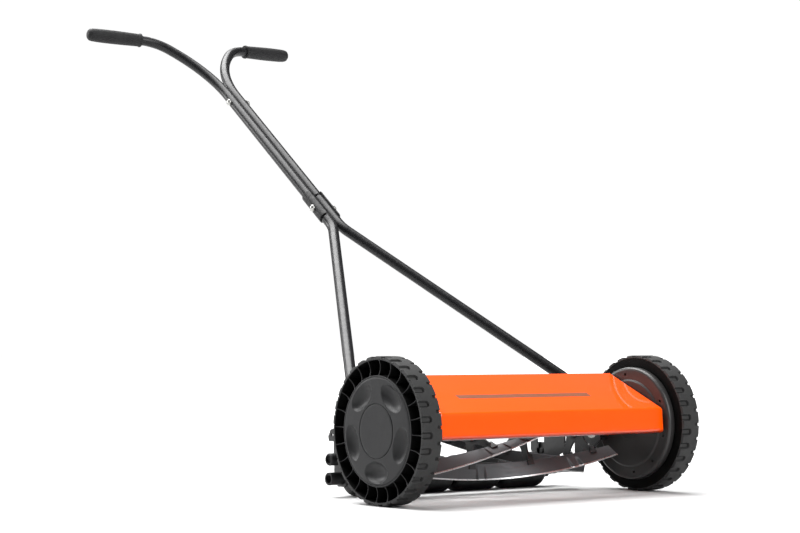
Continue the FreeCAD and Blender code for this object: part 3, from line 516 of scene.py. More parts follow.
def solid_mesh(name, shape):
    """A closed mesh in the row frame, in metres, with its faces turned outwards."""
    mesh = bpy.data.meshes.new(name)
    offset = Vector((0, AXLE_Y, 0))
    mesh.from_pydata([point * MM + offset for point in shape.points], [], shape.faces)
    for face, mark in zip(mesh.polygons, shape.marks):
        face.material_index = mark
    work = bmesh.new()
    work.from_mesh(mesh)
    bmesh.ops.remove_doubles(work, verts=work.verts, dist=1e-6)
    bmesh.ops.recalc_face_normals(work, faces=work.faces)
    work.to_mesh(mesh)
    work.free()
    return mesh


def placed(name, data):
    """A new object in the scene."""
    item = bpy.data.objects.new(name, data)
    bpy.context.scene.collection.objects.link(item)
    return item


def round_edges(piece, width, angle):
    """Break the edges that are sharper than an angle over a width in millimetres."""
    rounding = piece.modifiers.new("rounded_edges", "BEVEL")
    rounding.width = width * MM
    rounding.segments = 2
    rounding.limit_method = "ANGLE"
    rounding.angle_limit = radians(angle)
    rounding.harden_normals = True


def put(name, shape, body, slot, replaces=(), materials=(), bevel=0.0, sharp=32.0):
    """Make a shape into a piece that rides on a body and stands for CAD nodes."""
    mesh = solid_mesh(name, shape)
    for material in materials or [FINISHES[slot]]:
        mesh.materials.append(material)
    mesh.shade_smooth()
    mesh.set_sharp_from_angle(angle=radians(sharp))
    piece = placed(name, mesh)
    if bevel:
        round_edges(piece, bevel, sharp)
        piece.modifiers.new("face_weights", "WEIGHTED_NORMAL").keep_sharp = True
    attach(piece, body)
    if replaces:
        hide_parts(*replaces)
    return piece


# ---- wheels

WHEEL_FACE = 276.5
WHEEL_BACK = 242.0
TYRE_RADIUS = 108.0
TYRE_SEAT = 104.0
POCKET_INNER = 80.3
POCKET_OUTER = 102.7
POCKETS = 24
FIRST_RIB_ANGLE = 92.0
RIB_HALF = 0.65
RIB_DIP = 3.0
WEB_DEPTH = 16.0
WEB_THICKNESS = 3.0
RING_FLOOR = 2.5
HUB_LENGTH = 26.0
HUB_RADIUS = 16.0
HUB_BORE = 10.0
# Beyond this radius the back of a wheel gets painted shade.
SHADED_BACK_RADIUS = 92.0
CAP_RADIUS = 78.0

TREAD_PITCHES = 30
TREAD_STARTS = {LEFT: 91.6, RIGHT: 83.8}
SHOULDER = 1.4
# Recesses from a tyre's left edge and, half a pitch on, its right: half width, length, corner radius.
LONG_RECESS = (4.75, 16.5, 4.4)
SHORT_RECESS = (2.3, 8.5, 1.6)
# A recess is deeper in a groove along its wall than on its floor, and its wall slopes a little.
RECESS_FLOOR = 2.5
RECESS_GROOVE = 3.8
GROOVE_WIDTH = 1.9
RECESS_WALL = 0.3


def rounded_tongue(reach, aside, half, length, corner):
    """Signed distance into a tongue open at reach 0; positive inside, negative outside."""
    over_x, over_y = reach - (length - corner), abs(aside) - (half - corner)
    if over_x > 0 and over_y > 0:
        return corner - hypot(over_x, over_y)
    return min(length - reach, half - abs(aside))


def make_tyre(name, side):
    """Tread ring with rounded recesses from both edges and soft shoulders."""
    steps, across = 34, 46
    outer, inner = side * WHEEL_FACE, side * (WHEEL_BACK - 0.2)
    left, right = min(outer, inner), max(outer, inner)
    width = right - left
    pitch_angle = 2 * pi / TREAD_PITCHES
    pitch = TYRE_RADIUS * pitch_angle
    loops = []
    for turn in range(TREAD_PITCHES * steps):
        share = turn / steps
        angle = pitch_angle * share
        aside = (share - round(share)) * pitch
        aside_half = (share + 0.5 - round(share + 0.5)) * pitch
        heading = radians(90.0 + TREAD_STARTS[side]) + angle
        loop = []
        for step in range(across + 1):
            reach = width * step / across
            shoulder = max(0.0, SHOULDER - min(reach, width - reach))
            radius = TYRE_RADIUS - SHOULDER + sqrt(max(0.0, SHOULDER ** 2 - shoulder ** 2))
            inside = max(
                rounded_tongue(reach, aside, *LONG_RECESS),
                rounded_tongue(width - reach, aside_half, *SHORT_RECESS),
            )
            bottom = RECESS_GROOVE if inside < GROOVE_WIDTH else RECESS_FLOOR
            depth = bottom * min(1.0, max(0.0, (inside + RECESS_WALL) / (2 * RECESS_WALL)))
            radius = min(radius, TYRE_RADIUS - depth)
            loop.append((left + reach, radius))
        loop += [(right, TYRE_SEAT - 0.05), (left, TYRE_SEAT - 0.05)]
        loops.append(swung(loop, heading))
    shape = Shape(*loft(loops, closed=True))
    put("tread_" + name, shape, "road_wheel_" + name, "tread_rubber", ["tyre_" + name], sharp=38.0)


def in_painted_shade(face_centre, side):
    """True for the parts of a wheel inside its pockets and for the outer part of its back, which get
    painted shade.
    """
    radius = hypot(face_centre.y, face_centre.z - AXLE_UP)
    depth = WHEEL_FACE - side * face_centre.x
    if radius > SHADED_BACK_RADIUS and side * face_centre.x < WHEEL_BACK + 1.0:
        return True
    return POCKET_INNER - 0.2 < radius < POCKET_OUTER + 0.2 and depth > 0.35


def make_wheel(name, side):
    """Moulded wheel: hub, web, deep pocket ring and ribs with dished free edges; pocket insides, rib
    roots and the outer back get painted shade.
    """
    face, back, floor = WHEEL_FACE, WHEEL_BACK, WHEEL_BACK + RING_FLOOR
    web = WHEEL_FACE - WEB_DEPTH
    front_of_web, hub_end = web + WEB_THICKNESS, web - HUB_LENGTH
    profile = [
        (hub_end, HUB_BORE), (hub_end, HUB_RADIUS), (web, HUB_RADIUS), (web, 80.0), (back, 80.0),
        (back, TYRE_SEAT), (face, TYRE_SEAT), (face, POCKET_OUTER), (floor, POCKET_OUTER),
        (floor, POCKET_INNER + 2.0), (web, POCKET_INNER + 2.0), (face, POCKET_INNER),
        (face, CAP_RADIUS + 0.3), (face - 4.0, CAP_RADIUS + 0.3), (face - 4.0, CAP_RADIUS - 4.0),
        (front_of_web, CAP_RADIUS - 4.0), (front_of_web, HUB_BORE),
    ]
    shape = Shape(*turned(soften(profile, 0.5), 240, side))
    # Faces inside the pockets and on the outer back get the near-black painted shade.
    for place, corners in enumerate(shape.faces):
        middle = sum((shape.points[corner] for corner in corners), Vector()) / len(corners)
        shape.marks[place] = int(in_painted_shade(middle, side))
    middle = (POCKET_INNER + POCKET_OUTER) / 2
    reach = (POCKET_OUTER - POCKET_INNER) / 2
    half = RIB_HALF
    for index in range(POCKETS):
        angle = radians(FIRST_RIB_ANGLE + 360.0 / POCKETS * index)
        along, across = heading_pair(angle)
        loops = []
        for step in range(13):
            share = step / 6 - 1
            radius = middle + share * (reach + 0.3)
            free = face - 0.8 - RIB_DIP * (1 - share * share)
            flare = half + 0.5 * max(0.0, abs(share) - 0.75) ** 2 * 16
            section = [
                (-half, floor - 0.2), (-flare, free - 0.6), (-flare * 0.5, free), (flare * 0.5, free),
                (flare, free - 0.6), (half, floor - 0.2),
            ]
            centre = along * radius + Vector((0, 0, AXLE_UP))
            loops.append([
                centre + across * aside + Vector((side * station, 0, 0)) for aside, station in section
            ])
        points, faces = loft(loops)
        shape.add(points, faces)
        # Rib faces down by the pocket floor get the painted shade as well.
        for place in range(len(shape.faces) - len(faces), len(shape.faces)):
            corners = [shape.points[corner] for corner in shape.faces[place]]
            lowest = min(side * corner.x for corner in corners)
            shape.marks[place] = int(lowest < floor + 1.0)
    put("wheel_moulding_" + name, shape, "road_wheel_" + name, "wheel_plastic", ["wheel_" + name],
        [FINISHES["wheel_plastic"], POCKET_SHADE_PLASTIC], sharp=30.0)


SCOOPS = 5
SCOOP_CENTRE = 59.2
SCOOP_HALF_LENGTH = 15.6
SCOOP_HALF_WIDTH = 27.0
SCOOP_DEPTH = 12.0
# Outer surface of the cap as (radius, height over the wheel face), before the scoops.
CAP_FRONT = (
    (0.0, 1.0), (20.0, 1.2), (37.9, 1.5), (38.6, 1.3), (39.0, 0.3), (39.9, 0.3), (40.4, 1.2),
    (41.2, 1.4), (58.0, 1.2), (73.5, 0.7), (76.2, 0.45), (77.4, 0.0), (78.0, -0.9),
)
# Back of the cap as (depth behind the wheel face, radius): deep under the scoops, shallow over the axle.
CAP_BACK = ((3.8, 78.0), (3.8, 73.5), (7.6, 73.0), (7.6, 43.0), (3.8, 42.0), (3.8, 0.0))


def cap_height(radius):
    """Outer surface of the hub cap before the scoops, measured out from the wheel face."""
    for (low, start), (high, stop) in zip(CAP_FRONT[:-1], CAP_FRONT[1:]):
        if radius <= high:
            return start + (stop - start) * (radius - low) / (high - low)
    return CAP_FRONT[-1][1]


def scoop_depth(along, aside):
    """Depth of one thumb hollow at a point given in shares of its half lengths."""
    inside = 1.0 - along * along - aside * aside
    if inside <= 0:
        return 0.0
    return SCOOP_DEPTH * inside * (1.0 - 0.4 * inside)


def make_hub_cap(name, side):
    """Pressed-in cap: five smooth hollows round a disc set off by a fine groove."""
    rings = [6.0, 14.0, 22.0, 30.0, 35.0, 37.9, 38.6, 39.0, 39.9, 40.4, 41.2]
    rings += [42.0 + 0.85 * step for step in range(40)]
    rings += [76.2, 76.9, 77.4, 77.8, 78.0]
    steps = 300
    loops = []
    for turn in range(steps):
        angle = 2 * pi * turn / steps - pi / 2
        loop = []
        for radius in [0.0] + rings:
            height = cap_height(radius)
            for scoop in range(SCOOPS):
                centre = radians(-90.0 + 360.0 / SCOOPS * scoop)
                gap = remainder(angle - centre, 2 * pi)
                if abs(gap) < 0.8 and radius > 42.0:
                    along, aside = radius * cos(gap) - SCOOP_CENTRE, radius * sin(gap)
                    height -= scoop_depth(along / SCOOP_HALF_LENGTH, aside / SCOOP_HALF_WIDTH)
            loop.append((WHEEL_FACE + height, radius))
        loop += [(WHEEL_FACE - depth, radius) for depth, radius in CAP_BACK]
        loops.append(swung(loop, angle, side))
    shape = Shape(*loft(loops, closed=True))
    put("cap_" + name, shape, "road_wheel_" + name, "wheel_plastic", ["hub_cap_" + name], sharp=34.0)


# ---- chassis

DISH_STATION = 226.5
DISH_RADIUS = 89.3
DRAIN_HOLE_ANGLES = (84.0, 152.0, 193.0, 228.0, 262.0)
DRAIN_HOLE_CIRCLE = 78.0
DRAIN_HOLE_RADIUS = 2.2
REEL = axle_point(centre_of("reel_shaft"))


def drilled(piece, cutters):
    """Cut holes through a piece with a boolean that is applied at once."""
    for cutter in cutters:
        cut = piece.modifiers.new("hole", "BOOLEAN")
        cut.operation = "DIFFERENCE"
        cut.solver = "EXACT"
        cut.object = cutter
    bpy.context.view_layer.update()
    solid = bpy.data.meshes.new_from_object(piece.evaluated_get(bpy.context.evaluated_depsgraph_get()))
    piece.modifiers.clear()
    piece.data = solid
    solid.shade_smooth()
    solid.set_sharp_from_angle(angle=radians(30))
    for cutter in cutters:
        bpy.data.objects.remove(cutter)


def hole_cutter(start, stop, radius, y, z):
    """A round cutter along X, in metres, that never becomes a piece."""
    shape = Shape(*turned([(start, 0.0), (start, radius), (stop, radius), (stop, 0.0)], 28, RIGHT, y, z))
    return placed("cutter", solid_mesh("cutter", shape))


def make_dish(name, side):
    """Round pressed cover with a raised centre, one step, a rolled rim and small drain holes."""
    base, rim, edge = DISH_STATION, DISH_RADIUS, DISH_STATION + 14.2
    profile = [
        (base - 0.5, 8.0), (base - 0.5, 24.0), (base + 0.4, 26.0), (base + 0.4, 67.0),
        (base + 2.2, 70.0), (base + 2.2, rim - 4.5), (base + 2.8, rim - 2.2), (base + 4.2, rim - 0.6),
        (base + 6.4, rim), (edge, rim), (edge, rim - 2.0), (base + 6.8, rim - 2.0),
        (base + 4.8, rim - 3.6), (base + 4.2, rim - 5.0), (base + 4.2, 69.0), (base + 2.4, 66.0),
        (base + 2.4, 25.0), (base + 1.5, 23.0), (base + 1.5, 8.0),
    ]
    shape = Shape(*turned(soften(profile, 0.7, 4, least_turn=8.0), 200, side))
    piece = put("cover_" + name, shape, "chassis", "graphite_paint", ["side_dish_" + name], sharp=30.0)
    cutters = []
    for angle in DRAIN_HOLE_ANGLES:
        turn = radians(angle)
        y = DRAIN_HOLE_CIRCLE * cos(turn)
        z = AXLE_UP + DRAIN_HOLE_CIRCLE * sin(turn)
        cutters.append(hole_cutter(side * (base - 3), side * (base + 9), DRAIN_HOLE_RADIUS, y, z))
    drilled(piece, cutters)


HOOD_HALF = 224.6
HOOD_THICKNESS = 1.6
HOOD_END_CORNER = 4.2
# Outside corners of the hood's section in (y, z): rear hem, rear edge, main fold, front, lip.
HOOD_CORNERS = ((40.6, 179.2), (37.6, 188.2), (-80.4, 134.0), (-83.0, 97.6), (-76.4, 95.2))
FOLD_RADII = (0.0, 2.6, 7.0, 4.5, 0.0)
FLANGE_DEPTH = 20.0


def shifted(points, distance):
    """A (y, z) polyline moved to its left by a distance, with mitred corners."""
    normals = []
    for (y0, z0), (y1, z1) in zip(points[:-1], points[1:]):
        run = Vector((y1 - y0, z1 - z0)).normalized()
        normals.append(Vector((-run.y, run.x)))
    result = [Vector(points[0]) + normals[0] * distance]
    for corner, first, second in zip(points[1:-1], normals[:-1], normals[1:]):
        result.append(Vector(corner) + (first + second) * (distance / (1 + first.dot(second))))
    result.append(Vector(points[-1]) + normals[-1] * distance)
    return result


def fold_samples(inward):
    """Points along the hood's section, moved inwards, with its folds rolled over a radius."""
    deep = shifted(HOOD_CORNERS, inward)
    samples = []
    for index, outer_radius in enumerate(FOLD_RADII):
        if index in (0, len(HOOD_CORNERS) - 1):
            samples.append(deep[index])
            continue
        radius = max(0.02, outer_radius - inward)
        here = deep[index]
        back = (deep[index - 1] - here).normalized()
        ahead = (deep[index + 1] - here).normalized()
        reach = radius * tan((pi - back.angle(ahead)) / 2)
        samples += rolled_corner(here + back * reach, here, here + ahead * reach, 6)
    return samples


def make_hood():
    """Bent sheet hood: rolled folds, turned-down ends and hemmed rear and front edges."""
    thickness, half, corner = HOOD_THICKNESS, HOOD_HALF, HOOD_END_CORNER
    profile = []
    for step in range(8):
        turn = radians(90.0 * step / 7)
        profile.append((half - corner + corner * cos(turn), corner - corner * sin(turn)))
    stations = [(-x, depth) for x, depth in profile] + [(x, depth) for x, depth in reversed(profile)]
    levels = {depth: fold_samples(depth) for _, depth in stations}
    shape = Shape()
    outer = [[(x, p.x, p.y) for p in levels[depth]] for x, depth in stations]
    shallow = fold_samples(thickness)
    inner = []
    for x, depth in stations:
        x_in = max(-half + thickness, min(half - thickness, x))
        samples = shallow if depth < thickness else fold_samples(depth)
        inner.append([(x_in, p.x, p.y) for p in samples])
    rows, count = len(outer), len(outer[0])
    points = [p for row in outer for p in row] + [p for row in inner for p in row]
    faces = []
    base = rows * count
    for row in range(rows - 1):
        for step in range(count - 1):
            a, b = row * count + step, (row + 1) * count + step
            faces.append((a, a + 1, b + 1, b))
            faces.append((base + a, base + b, base + b + 1, base + a + 1))
        for step in (0, count - 1):
            a, b = row * count + step, (row + 1) * count + step
            faces.append((a, b, base + b, base + a))
    for row in (0, rows - 1):
        for step in range(count - 1):
            a = row * count + step
            faces.append((a, base + a, base + a + 1, a + 1))
    shape.add(points, faces)
    for side in (LEFT, RIGHT):
        shape.add(*end_flange(side))
    put("hood_shell", shape, "chassis", "orange_paint", ["hood"], sharp=35.0)


def end_flange(side):
    """Turned-down end of the hood, from the rolled corner to its lower edge."""
    deep = [(p.x, p.y) for p in shifted(HOOD_CORNERS, FLANGE_DEPTH)[1:4]]
    shallow = [(p.x, p.y) for p in shifted(HOOD_CORNERS, HOOD_END_CORNER - 0.4)[1:4]]
    outline = soften(shallow + list(reversed(deep)), 2.0, 4)
    return slab(outline, side * (HOOD_HALF - HOOD_THICKNESS), side * HOOD_HALF)


STRIPE_START = -153.0
STRIPE_END = 111.0
STRIPE_DOWN = 77.0
STRIPE_HALF = 6.0
STRIPE_LIFT = 0.02
STRIPE_THICKNESS = 0.14


def make_stripe():
    """Thin plain line along the hood's top panel."""
    rear, fold = Vector(HOOD_CORNERS[1]), Vector(HOOD_CORNERS[2])
    run = (fold - rear).normalized()
    normal = Vector((run.y, -run.x))
    centre = rear + run * STRIPE_DOWN
    half, low, high = STRIPE_HALF, STRIPE_LIFT, STRIPE_LIFT + STRIPE_THICKNESS
    outline = []
    for aside, up in ((-half, low), (half, low), (half, high), (-half, high)):
        spot = centre + run * aside + normal * up
        outline.append((spot.x, spot.y))
    shape = Shape(*slab(outline, STRIPE_START, STRIPE_END))
    put("hood_line", shape, "chassis", "black_plastic", materials=[STRIPE])


HOOD_SCREWS = ((8.0, 55.0), (-68.0, 18.0))


def make_hood_screws():
    """Pan-head screws, spacers and nuts at the hood's ends."""
    shape = Shape()
    for _, side in SIDES:
        for y, up in HOOD_SCREWS:
            z = AXLE_UP + up
            spacer = soften([(224.6, 0.0), (224.6, 5.0), (226.9, 5.0), (226.9, 0.0)], 0.4)
            head = soften([(219.9, 0.0), (219.9, 3.4), (221.1, 5.0), (222.9, 5.0), (222.9, 0.0)], 0.7)
            shape.add(*turned(spacer, 32, side, y, z))
            shape.add(*turned(head, 32, side, y, z))
            shape.add(*hex_nut(side * 230.9, side * 234.3, 8.0, y, z))
    put("hood_fixings", shape, "chassis", "zinc_plate", ["hood_screws"], bevel=0.2)


def hex_nut(start, stop, across_flats, y, z):
    """Hexagon nut with chamfered corners on both faces."""
    loops = []
    run = stop - start
    corner = across_flats / sqrt(3)
    steps = 24
    for share, factor in ((0.0, 0.9), (0.12, 1.0), (0.88, 1.0), (1.0, 0.9)):
        x = start + run * share
        loop = []
        for index in range(steps):
            angle = 2 * pi * index / steps
            flat = across_flats / 2 / cos(remainder(angle, pi / 3))
            radius = min(flat, corner * factor)
            loop.append((x, y + radius * cos(angle), z + radius * sin(angle)))
        loops.append(loop)
    return loft(loops)


# ---- cutting reel

REEL_RADIUS = 72.6
REEL_HALF = 200.5
BLADE_WIDTH = 25.5
BLADE_THICKNESS = 2.6
BLADE_TWIST = -0.2545
BLADE_START = -97.0
BLADES = 5
GROUND_WIDTH = 2.2
SPIDERS = (-163.0, -50.0, 50.0, 163.0)
SPIDER_HALF = 1.75
SPIDER_HUB = 19.5
ARM_HALF_WIDTH = 6.0


def blade_angle(index, station):
    """Heading of a blade at a station, from +Y towards +Z."""
    return radians(BLADE_START - 360.0 / BLADES * index + BLADE_TWIST * station)


def make_blades():
    """Helical strips standing on edge, each with a narrow ground bevel along its outer edge."""
    half = BLADE_THICKNESS / 2
    for index in range(BLADES):
        body_loops, edge_loops = [], []
        for step in range(121):
            station = REEL_HALF * (step / 60 - 1)
            angle = blade_angle(index, station)
            radial, across = heading_pair(angle)
            centre = Vector((station, REEL.y, REEL.z))
            inner, bevel, outer = REEL_RADIUS - BLADE_WIDTH, REEL_RADIUS - GROUND_WIDTH, REEL_RADIUS
            strip = [
                (inner, -half + 0.4), (inner + 0.4, -half), (bevel, -half), (bevel, half),
                (inner + 0.4, half), (inner, half - 0.4),
            ]
            lip = [
                (bevel, -half), (outer - 0.2, -half), (outer, -half + 0.3), (outer, half - 1.2),
                (bevel, half),
            ]
            body_loops.append([centre + radial * r + across * t for r, t in strip])
            edge_loops.append([centre + radial * r + across * t for r, t in lip])
        shape = Shape(*loft(body_loops))
        shape.add(*loft(edge_loops), mark=1)
        number = str(index + 1)
        put("blade_" + number, shape, "reel", "blade_steel", ["reel_blade_" + number],
            [FINISHES["blade_steel"], EDGE_STEEL], sharp=24.0)


def make_spiders():
    """Pressed stars that carry the blades, with a raised boss and a bent tab under each blade."""
    inner = REEL_RADIUS - BLADE_WIDTH
    half = SPIDER_HALF
    for number, station in enumerate(SPIDERS, start=1):
        shape = Shape()
        headings = [blade_angle(blade, station) for blade in range(BLADES)]
        outline = []
        for heading in sorted(headings, key=lambda angle: angle % (2 * pi)):
            flank = []
            for step in range(9):
                share = step / 8
                radius = SPIDER_HUB + (inner - 0.3 - SPIDER_HUB) * share
                half_width = ARM_HALF_WIDTH + 3.2 * max(0.0, 0.6 - share) ** 2 / 0.36
                flank.append((radius, asin(min(0.95, half_width / radius))))
            for radius, spread in flank:
                outline.append((radius, heading - spread))
            for radius, spread in reversed(flank):
                outline.append((radius, heading + spread))
        flat = [(REEL.y + r * cos(a), REEL.z + r * sin(a)) for r, a in outline]
        shape.add(*slab(flat, station - half, station + half))
        start, stop = station - 6.0, station + 6.0
        boss = [(start, 8.0), (start, 13.0), (stop, 13.0), (stop, 8.0)]
        shape.add(*turned(soften(boss, 1.0), 40, RIGHT, REEL.y, REEL.z))
        for blade in range(BLADES):
            tab = []
            for along in (-half, 9.0):
                out, over = heading_pair(blade_angle(blade, station + along))
                hub = Vector((station + along, REEL.y, REEL.z))
                low, high = inner - 9.0, inner + 8.0
                corners = ((low, -1.32), (high, -1.32), (high, -3.6), (low, -3.6))
                tab.append([hub + out * r + over * t for r, t in corners])
            shape.add(*loft(tab))
        put("star_" + str(number), shape, "reel", "black_paint", ["reel_spider_" + str(number)],
            bevel=0.35, sharp=34.0)


# ---- roller and height setting

ROLLERS = 4
ROLLER_HALF = 48.5
ROLLER_RADIUS = 28.5
ROLLER_SHOULDER = 14.7


def make_rollers():
    """Hollow roller lengths with broad rounded shoulders and open dished ends."""
    half, radius, corner = ROLLER_HALF, ROLLER_RADIUS, ROLLER_SHOULDER
    for number in range(1, ROLLERS + 1):
        centre = axle_point(centre_of("roller_segment_" + str(number)))
        right_half = [(0.0, radius)]
        for step in range(13):
            turn = radians(90.0 * step / 12)
            x, r = half - corner + corner * sin(turn), radius - corner + corner * cos(turn)
            right_half.append((x, r))
        dish = half - 5.5
        right_half += [
            (half, 12.2), (half - 1.0, 11.6), (dish, 11.4), (dish, 10.2), (half, 10.0), (half, 6.1),
        ]
        profile = right_half + [(-x, r) for x, r in reversed(right_half[1:])]
        shape = Shape()
        points = [(centre.x + x, r) for x, r in profile]
        shape.add(*turned(points, 96, RIGHT, centre.y, centre.z))
        name = "roller_" + str(number)
        put(name, shape, name, "black_plastic", ["roller_segment_" + str(number)], sharp=34.0)


def make_end_caps():
    """Hollow caps on the ends of the roller axle."""
    shape = Shape()
    centre = axle_point(centre_of("roller_axle"))
    for _, side in SIDES:
        profile = [(208.5, 6.0), (208.5, 9.8), (233.0, 9.8), (233.0, 6.8), (224.0, 6.8), (224.0, 6.0)]
        shape.add(*turned(soften(profile, 0.7), 56, side, centre.y, centre.z))
    put("axle_caps", shape, "roller_frame", "black_plastic", ["roller_end_caps"])


def make_knob(name, side):
    """Height knob with a recessed end and a collar."""
    centre = axle_point(centre_of("height_knob_" + name))
    profile = [
        (201.8, 0.0), (201.8, 4.0), (212.5, 4.0), (212.9, 7.6), (213.7, 9.2), (215.5, 9.5),
        (231.4, 9.5), (233.0, 8.3), (233.0, 6.7), (232.0, 6.3), (229.0, 6.1), (229.0, 0.0),
    ]
    shape = Shape(*turned(soften(profile, 0.6), 56, side, centre.y, centre.z))
    put("knob_" + name, shape, "knob_" + name, "black_plastic", ["height_knob_" + name], sharp=34.0)


# ---- handle

TUBE_RADIUS = 9.0
TUBE_OFFSET = 9.3
# Points of the handle's right half: pivot, outward elbow, tube tip, and the grip's two ends.
PIVOT = (216.0, 75.0, 130.9)
ELBOW = (85.2, 944.8, 806.7)
TIP = (217.2, 958.9, 809.9)
GRIP_START = (116.9, 948.2, 807.5)
GRIP_END = (221.2, 959.3, 810.0)
# The clamp bolt, and distances from it up the handle's straight middle.
CLAMP = Vector((0.0, 521.3, 470.7))
LOWER_TUBE_BEND = -56.0
LOWER_TUBE_TOP = 31.0
UPPER_TUBE_BOTTOM = 36.0
UPPER_TUBE_BEND = 446.0
UPPER_BOLT = 344.0
SLOPE = radians(38.0)
UP_HANDLE = Vector((0.0, cos(SLOPE), sin(SLOPE)))
# From a pivot up the lower tube to its knee.
TUBE_RISE = Vector((0.0, 0.804, 0.595))
KNEE_DISTANCE = 79.0
KNEE_OUT = 3.5
TUBE_TAIL = 11.0
KNEE_BENDS = (45.0, 60.0)
HANDLE_BENDS = (230.0, 74.0)


def on_clamp_line(distance, across=0.0):
    """Point beside the handle's straight middle, measured up from the clamp bolt."""
    return CLAMP + UP_HANDLE * distance + Vector((across, 0, 0))


def mirrored(point, side):
    """A point of the right half, or its mirror image on the left."""
    return Vector((point[0] * side, point[1], point[2]))


def make_tubes(name, side):
    """The lower and the upper tube of one side, each with a rounded plug in its open end."""
    pivot = mirrored(PIVOT, side)
    aside = TUBE_OFFSET * side
    foot = pivot - TUBE_RISE * TUBE_TAIL
    knee = pivot + TUBE_RISE * KNEE_DISTANCE + Vector((KNEE_OUT * side, 0, 0))
    head = on_clamp_line(LOWER_TUBE_TOP, aside)
    lower_line = bent_line([foot, knee, on_clamp_line(LOWER_TUBE_BEND, aside), head], KNEE_BENDS, 4.0)
    shape = Shape(*loft(along_line(lower_line, [TUBE_RADIUS] * len(lower_line))))
    shape.add(*end_plug(head, UP_HANDLE))
    shape.add(*end_plug(foot, -TUBE_RISE))
    put("handle_lower_" + name, shape, "handle", "tube_coat", ["lower_tube_" + name], sharp=50.0)
    bottom = on_clamp_line(UPPER_TUBE_BOTTOM, aside)
    upper = [bottom, on_clamp_line(UPPER_TUBE_BEND, aside), mirrored(ELBOW, side), mirrored(TIP, side)]
    upper_line = bent_line(upper, HANDLE_BENDS, 5.0)
    shape = Shape(*loft(along_line(upper_line, [TUBE_RADIUS] * len(upper_line))))
    shape.add(*end_plug(bottom, -UP_HANDLE))
    put("handle_upper_" + name, shape, "handle", "tube_coat", ["upper_tube_" + name], sharp=50.0)


def end_plug(spot, outwards):
    """Low dome that closes a tube end."""
    line, radii = [], []
    for height, share in ((-0.5, 1.0), (0.2, 0.985), (1.1, 0.9), (1.9, 0.72), (2.4, 0.42), (2.5, 0.05)):
        line.append(spot + outwards * height)
        radii.append(TUBE_RADIUS * share * 0.995)
    return loft(along_line(line, radii))


# Outline of a grip as (distance from its collar, radius).
GRIP_OUTLINE = (
    (0.0, 9.2), (0.0, 12.2), (0.6, 12.8), (2.2, 12.95), (3.6, 12.5), (5.0, 11.8), (8.0, 11.9),
    (20.0, 12.2), (40.0, 12.6), (54.0, 12.8), (72.0, 12.75), (88.0, 12.5), (98.0, 11.9),
    (103.0, 10.8), (105.6, 8.4), (106.8, 6.0), (107.2, 3.0), (107.3, 0.05),
)


def make_grip(name, side):
    """Slightly barrelled grip with a flared collar and a soft closed end."""
    start = mirrored(GRIP_START, side)
    along = (mirrored(GRIP_END, side) - start).normalized()
    up = Vector((0, 0, 1))
    normal = (up - along * up.dot(along)).normalized()
    across = along.cross(normal)
    steps = 48
    loops = []
    for distance, radius in GRIP_OUTLINE:
        loop = []
        for step in range(steps):
            angle = 2 * pi * step / steps
            spoke = normal * cos(angle) + across * sin(angle)
            loop.append(start + along * distance + spoke * radius)
        loops.append(loop)
    shape = Shape(*loft(loops))
    put("hand_grip_" + name, shape, "handle", "grip_rubber", ["grip_" + name], sharp=44.0)


def make_saddle(name, side):
    """Half-shell over one side's pair of tube ends, with chamfered rims."""
    inner, outer = TUBE_RADIUS + 0.1, TUBE_RADIUS + 2.7
    front = Vector((0, UP_HANDLE.z, -UP_HANDLE.y))
    sideways = Vector((side, 0, 0))
    shape = Shape()
    base = Vector((TUBE_OFFSET * side, 0, 0)) + CLAMP
    loops = []
    for distance, grow in ((-29.0, 0.0), (-28.2, 0.6), (38.2, 0.6), (39.0, 0.0)):
        loop = []
        for radius, angles in ((outer - 0.6 + grow, range(-78, 79, 6)), (inner, range(78, -79, -6))):
            for angle in angles:
                turn = radians(angle)
                spot = sideways * cos(turn) * radius + front * sin(turn) * radius
                loop.append(base + UP_HANDLE * distance + spot)
        loops.append(loop)
    shape.add(*loft(loops))
    put("saddle_" + name, shape, "handle", "black_plastic", ["clamp_saddle_" + name],
        bevel=0.4, sharp=34.0)


def make_handle_bolts():
    """Cross bolts of the handle: domed heads on the left, nuts and washers on the right."""
    shape = Shape()
    reach = TUBE_OFFSET + TUBE_RADIUS + 2.8
    for distance, outer, radius in ((0.0, reach, 3.0), (UPPER_BOLT, reach - 2.5, 2.5)):
        spot = on_clamp_line(distance)
        rod = soften([(-outer, 0.0), (-outer, radius), (outer + 7.0, radius), (outer + 7.0, 0.0)], 0.4)
        shape.add(*turned(rod, 24, RIGHT, spot.y, spot.z))
        shelf = -outer - 1.2
        dome = [(-outer, 0.0), (-outer, 6.0), (shelf, 6.0)]
        for step in range(1, 7):
            turn = radians(90.0 * step / 6)
            dome.append((shelf - 3.2 * sin(turn), 6.0 * cos(turn)))
        shape.add(*turned(dome, 40, RIGHT, spot.y, spot.z))
        washer = soften([(outer, 0.0), (outer, 7.0), (outer + 1.0, 7.0), (outer + 1.0, 0.0)], 0.3)
        shape.add(*turned(washer, 36, RIGHT, spot.y, spot.z))
        shape.add(*hex_nut(outer + 1.0, outer + 5.0, 10.0, spot.y, spot.z))
    put("cross_bolts", shape, "handle", "zinc_plate", ["handle_bolts"], sharp=34.0)


# ---- CAD nodes that stay

KEPT = {
    "tie_rod": "black_paint",
    "bed_knife": "blade_steel",
    "bed_knife_bar": "black_paint",
    "bed_knife_screws": "zinc_plate",
    "pivot_bolts": "zinc_plate",
    "axle_clips": "bright_steel",
    "side_plate_": "black_paint",
    "bearing_housing_": "black_paint",
    "reel_bearing_": "bright_steel",
    "wheel_axle_": "bright_steel",
    "reel_shaft": "black_paint",
    "drive_pinion_": "bright_steel",
    "roller_axle": "bright_steel",
    "roller_bracket_": "black_paint",
    "ring_gear_": "black_plastic",
    "wheel_bush_": "bush_bronze",
}


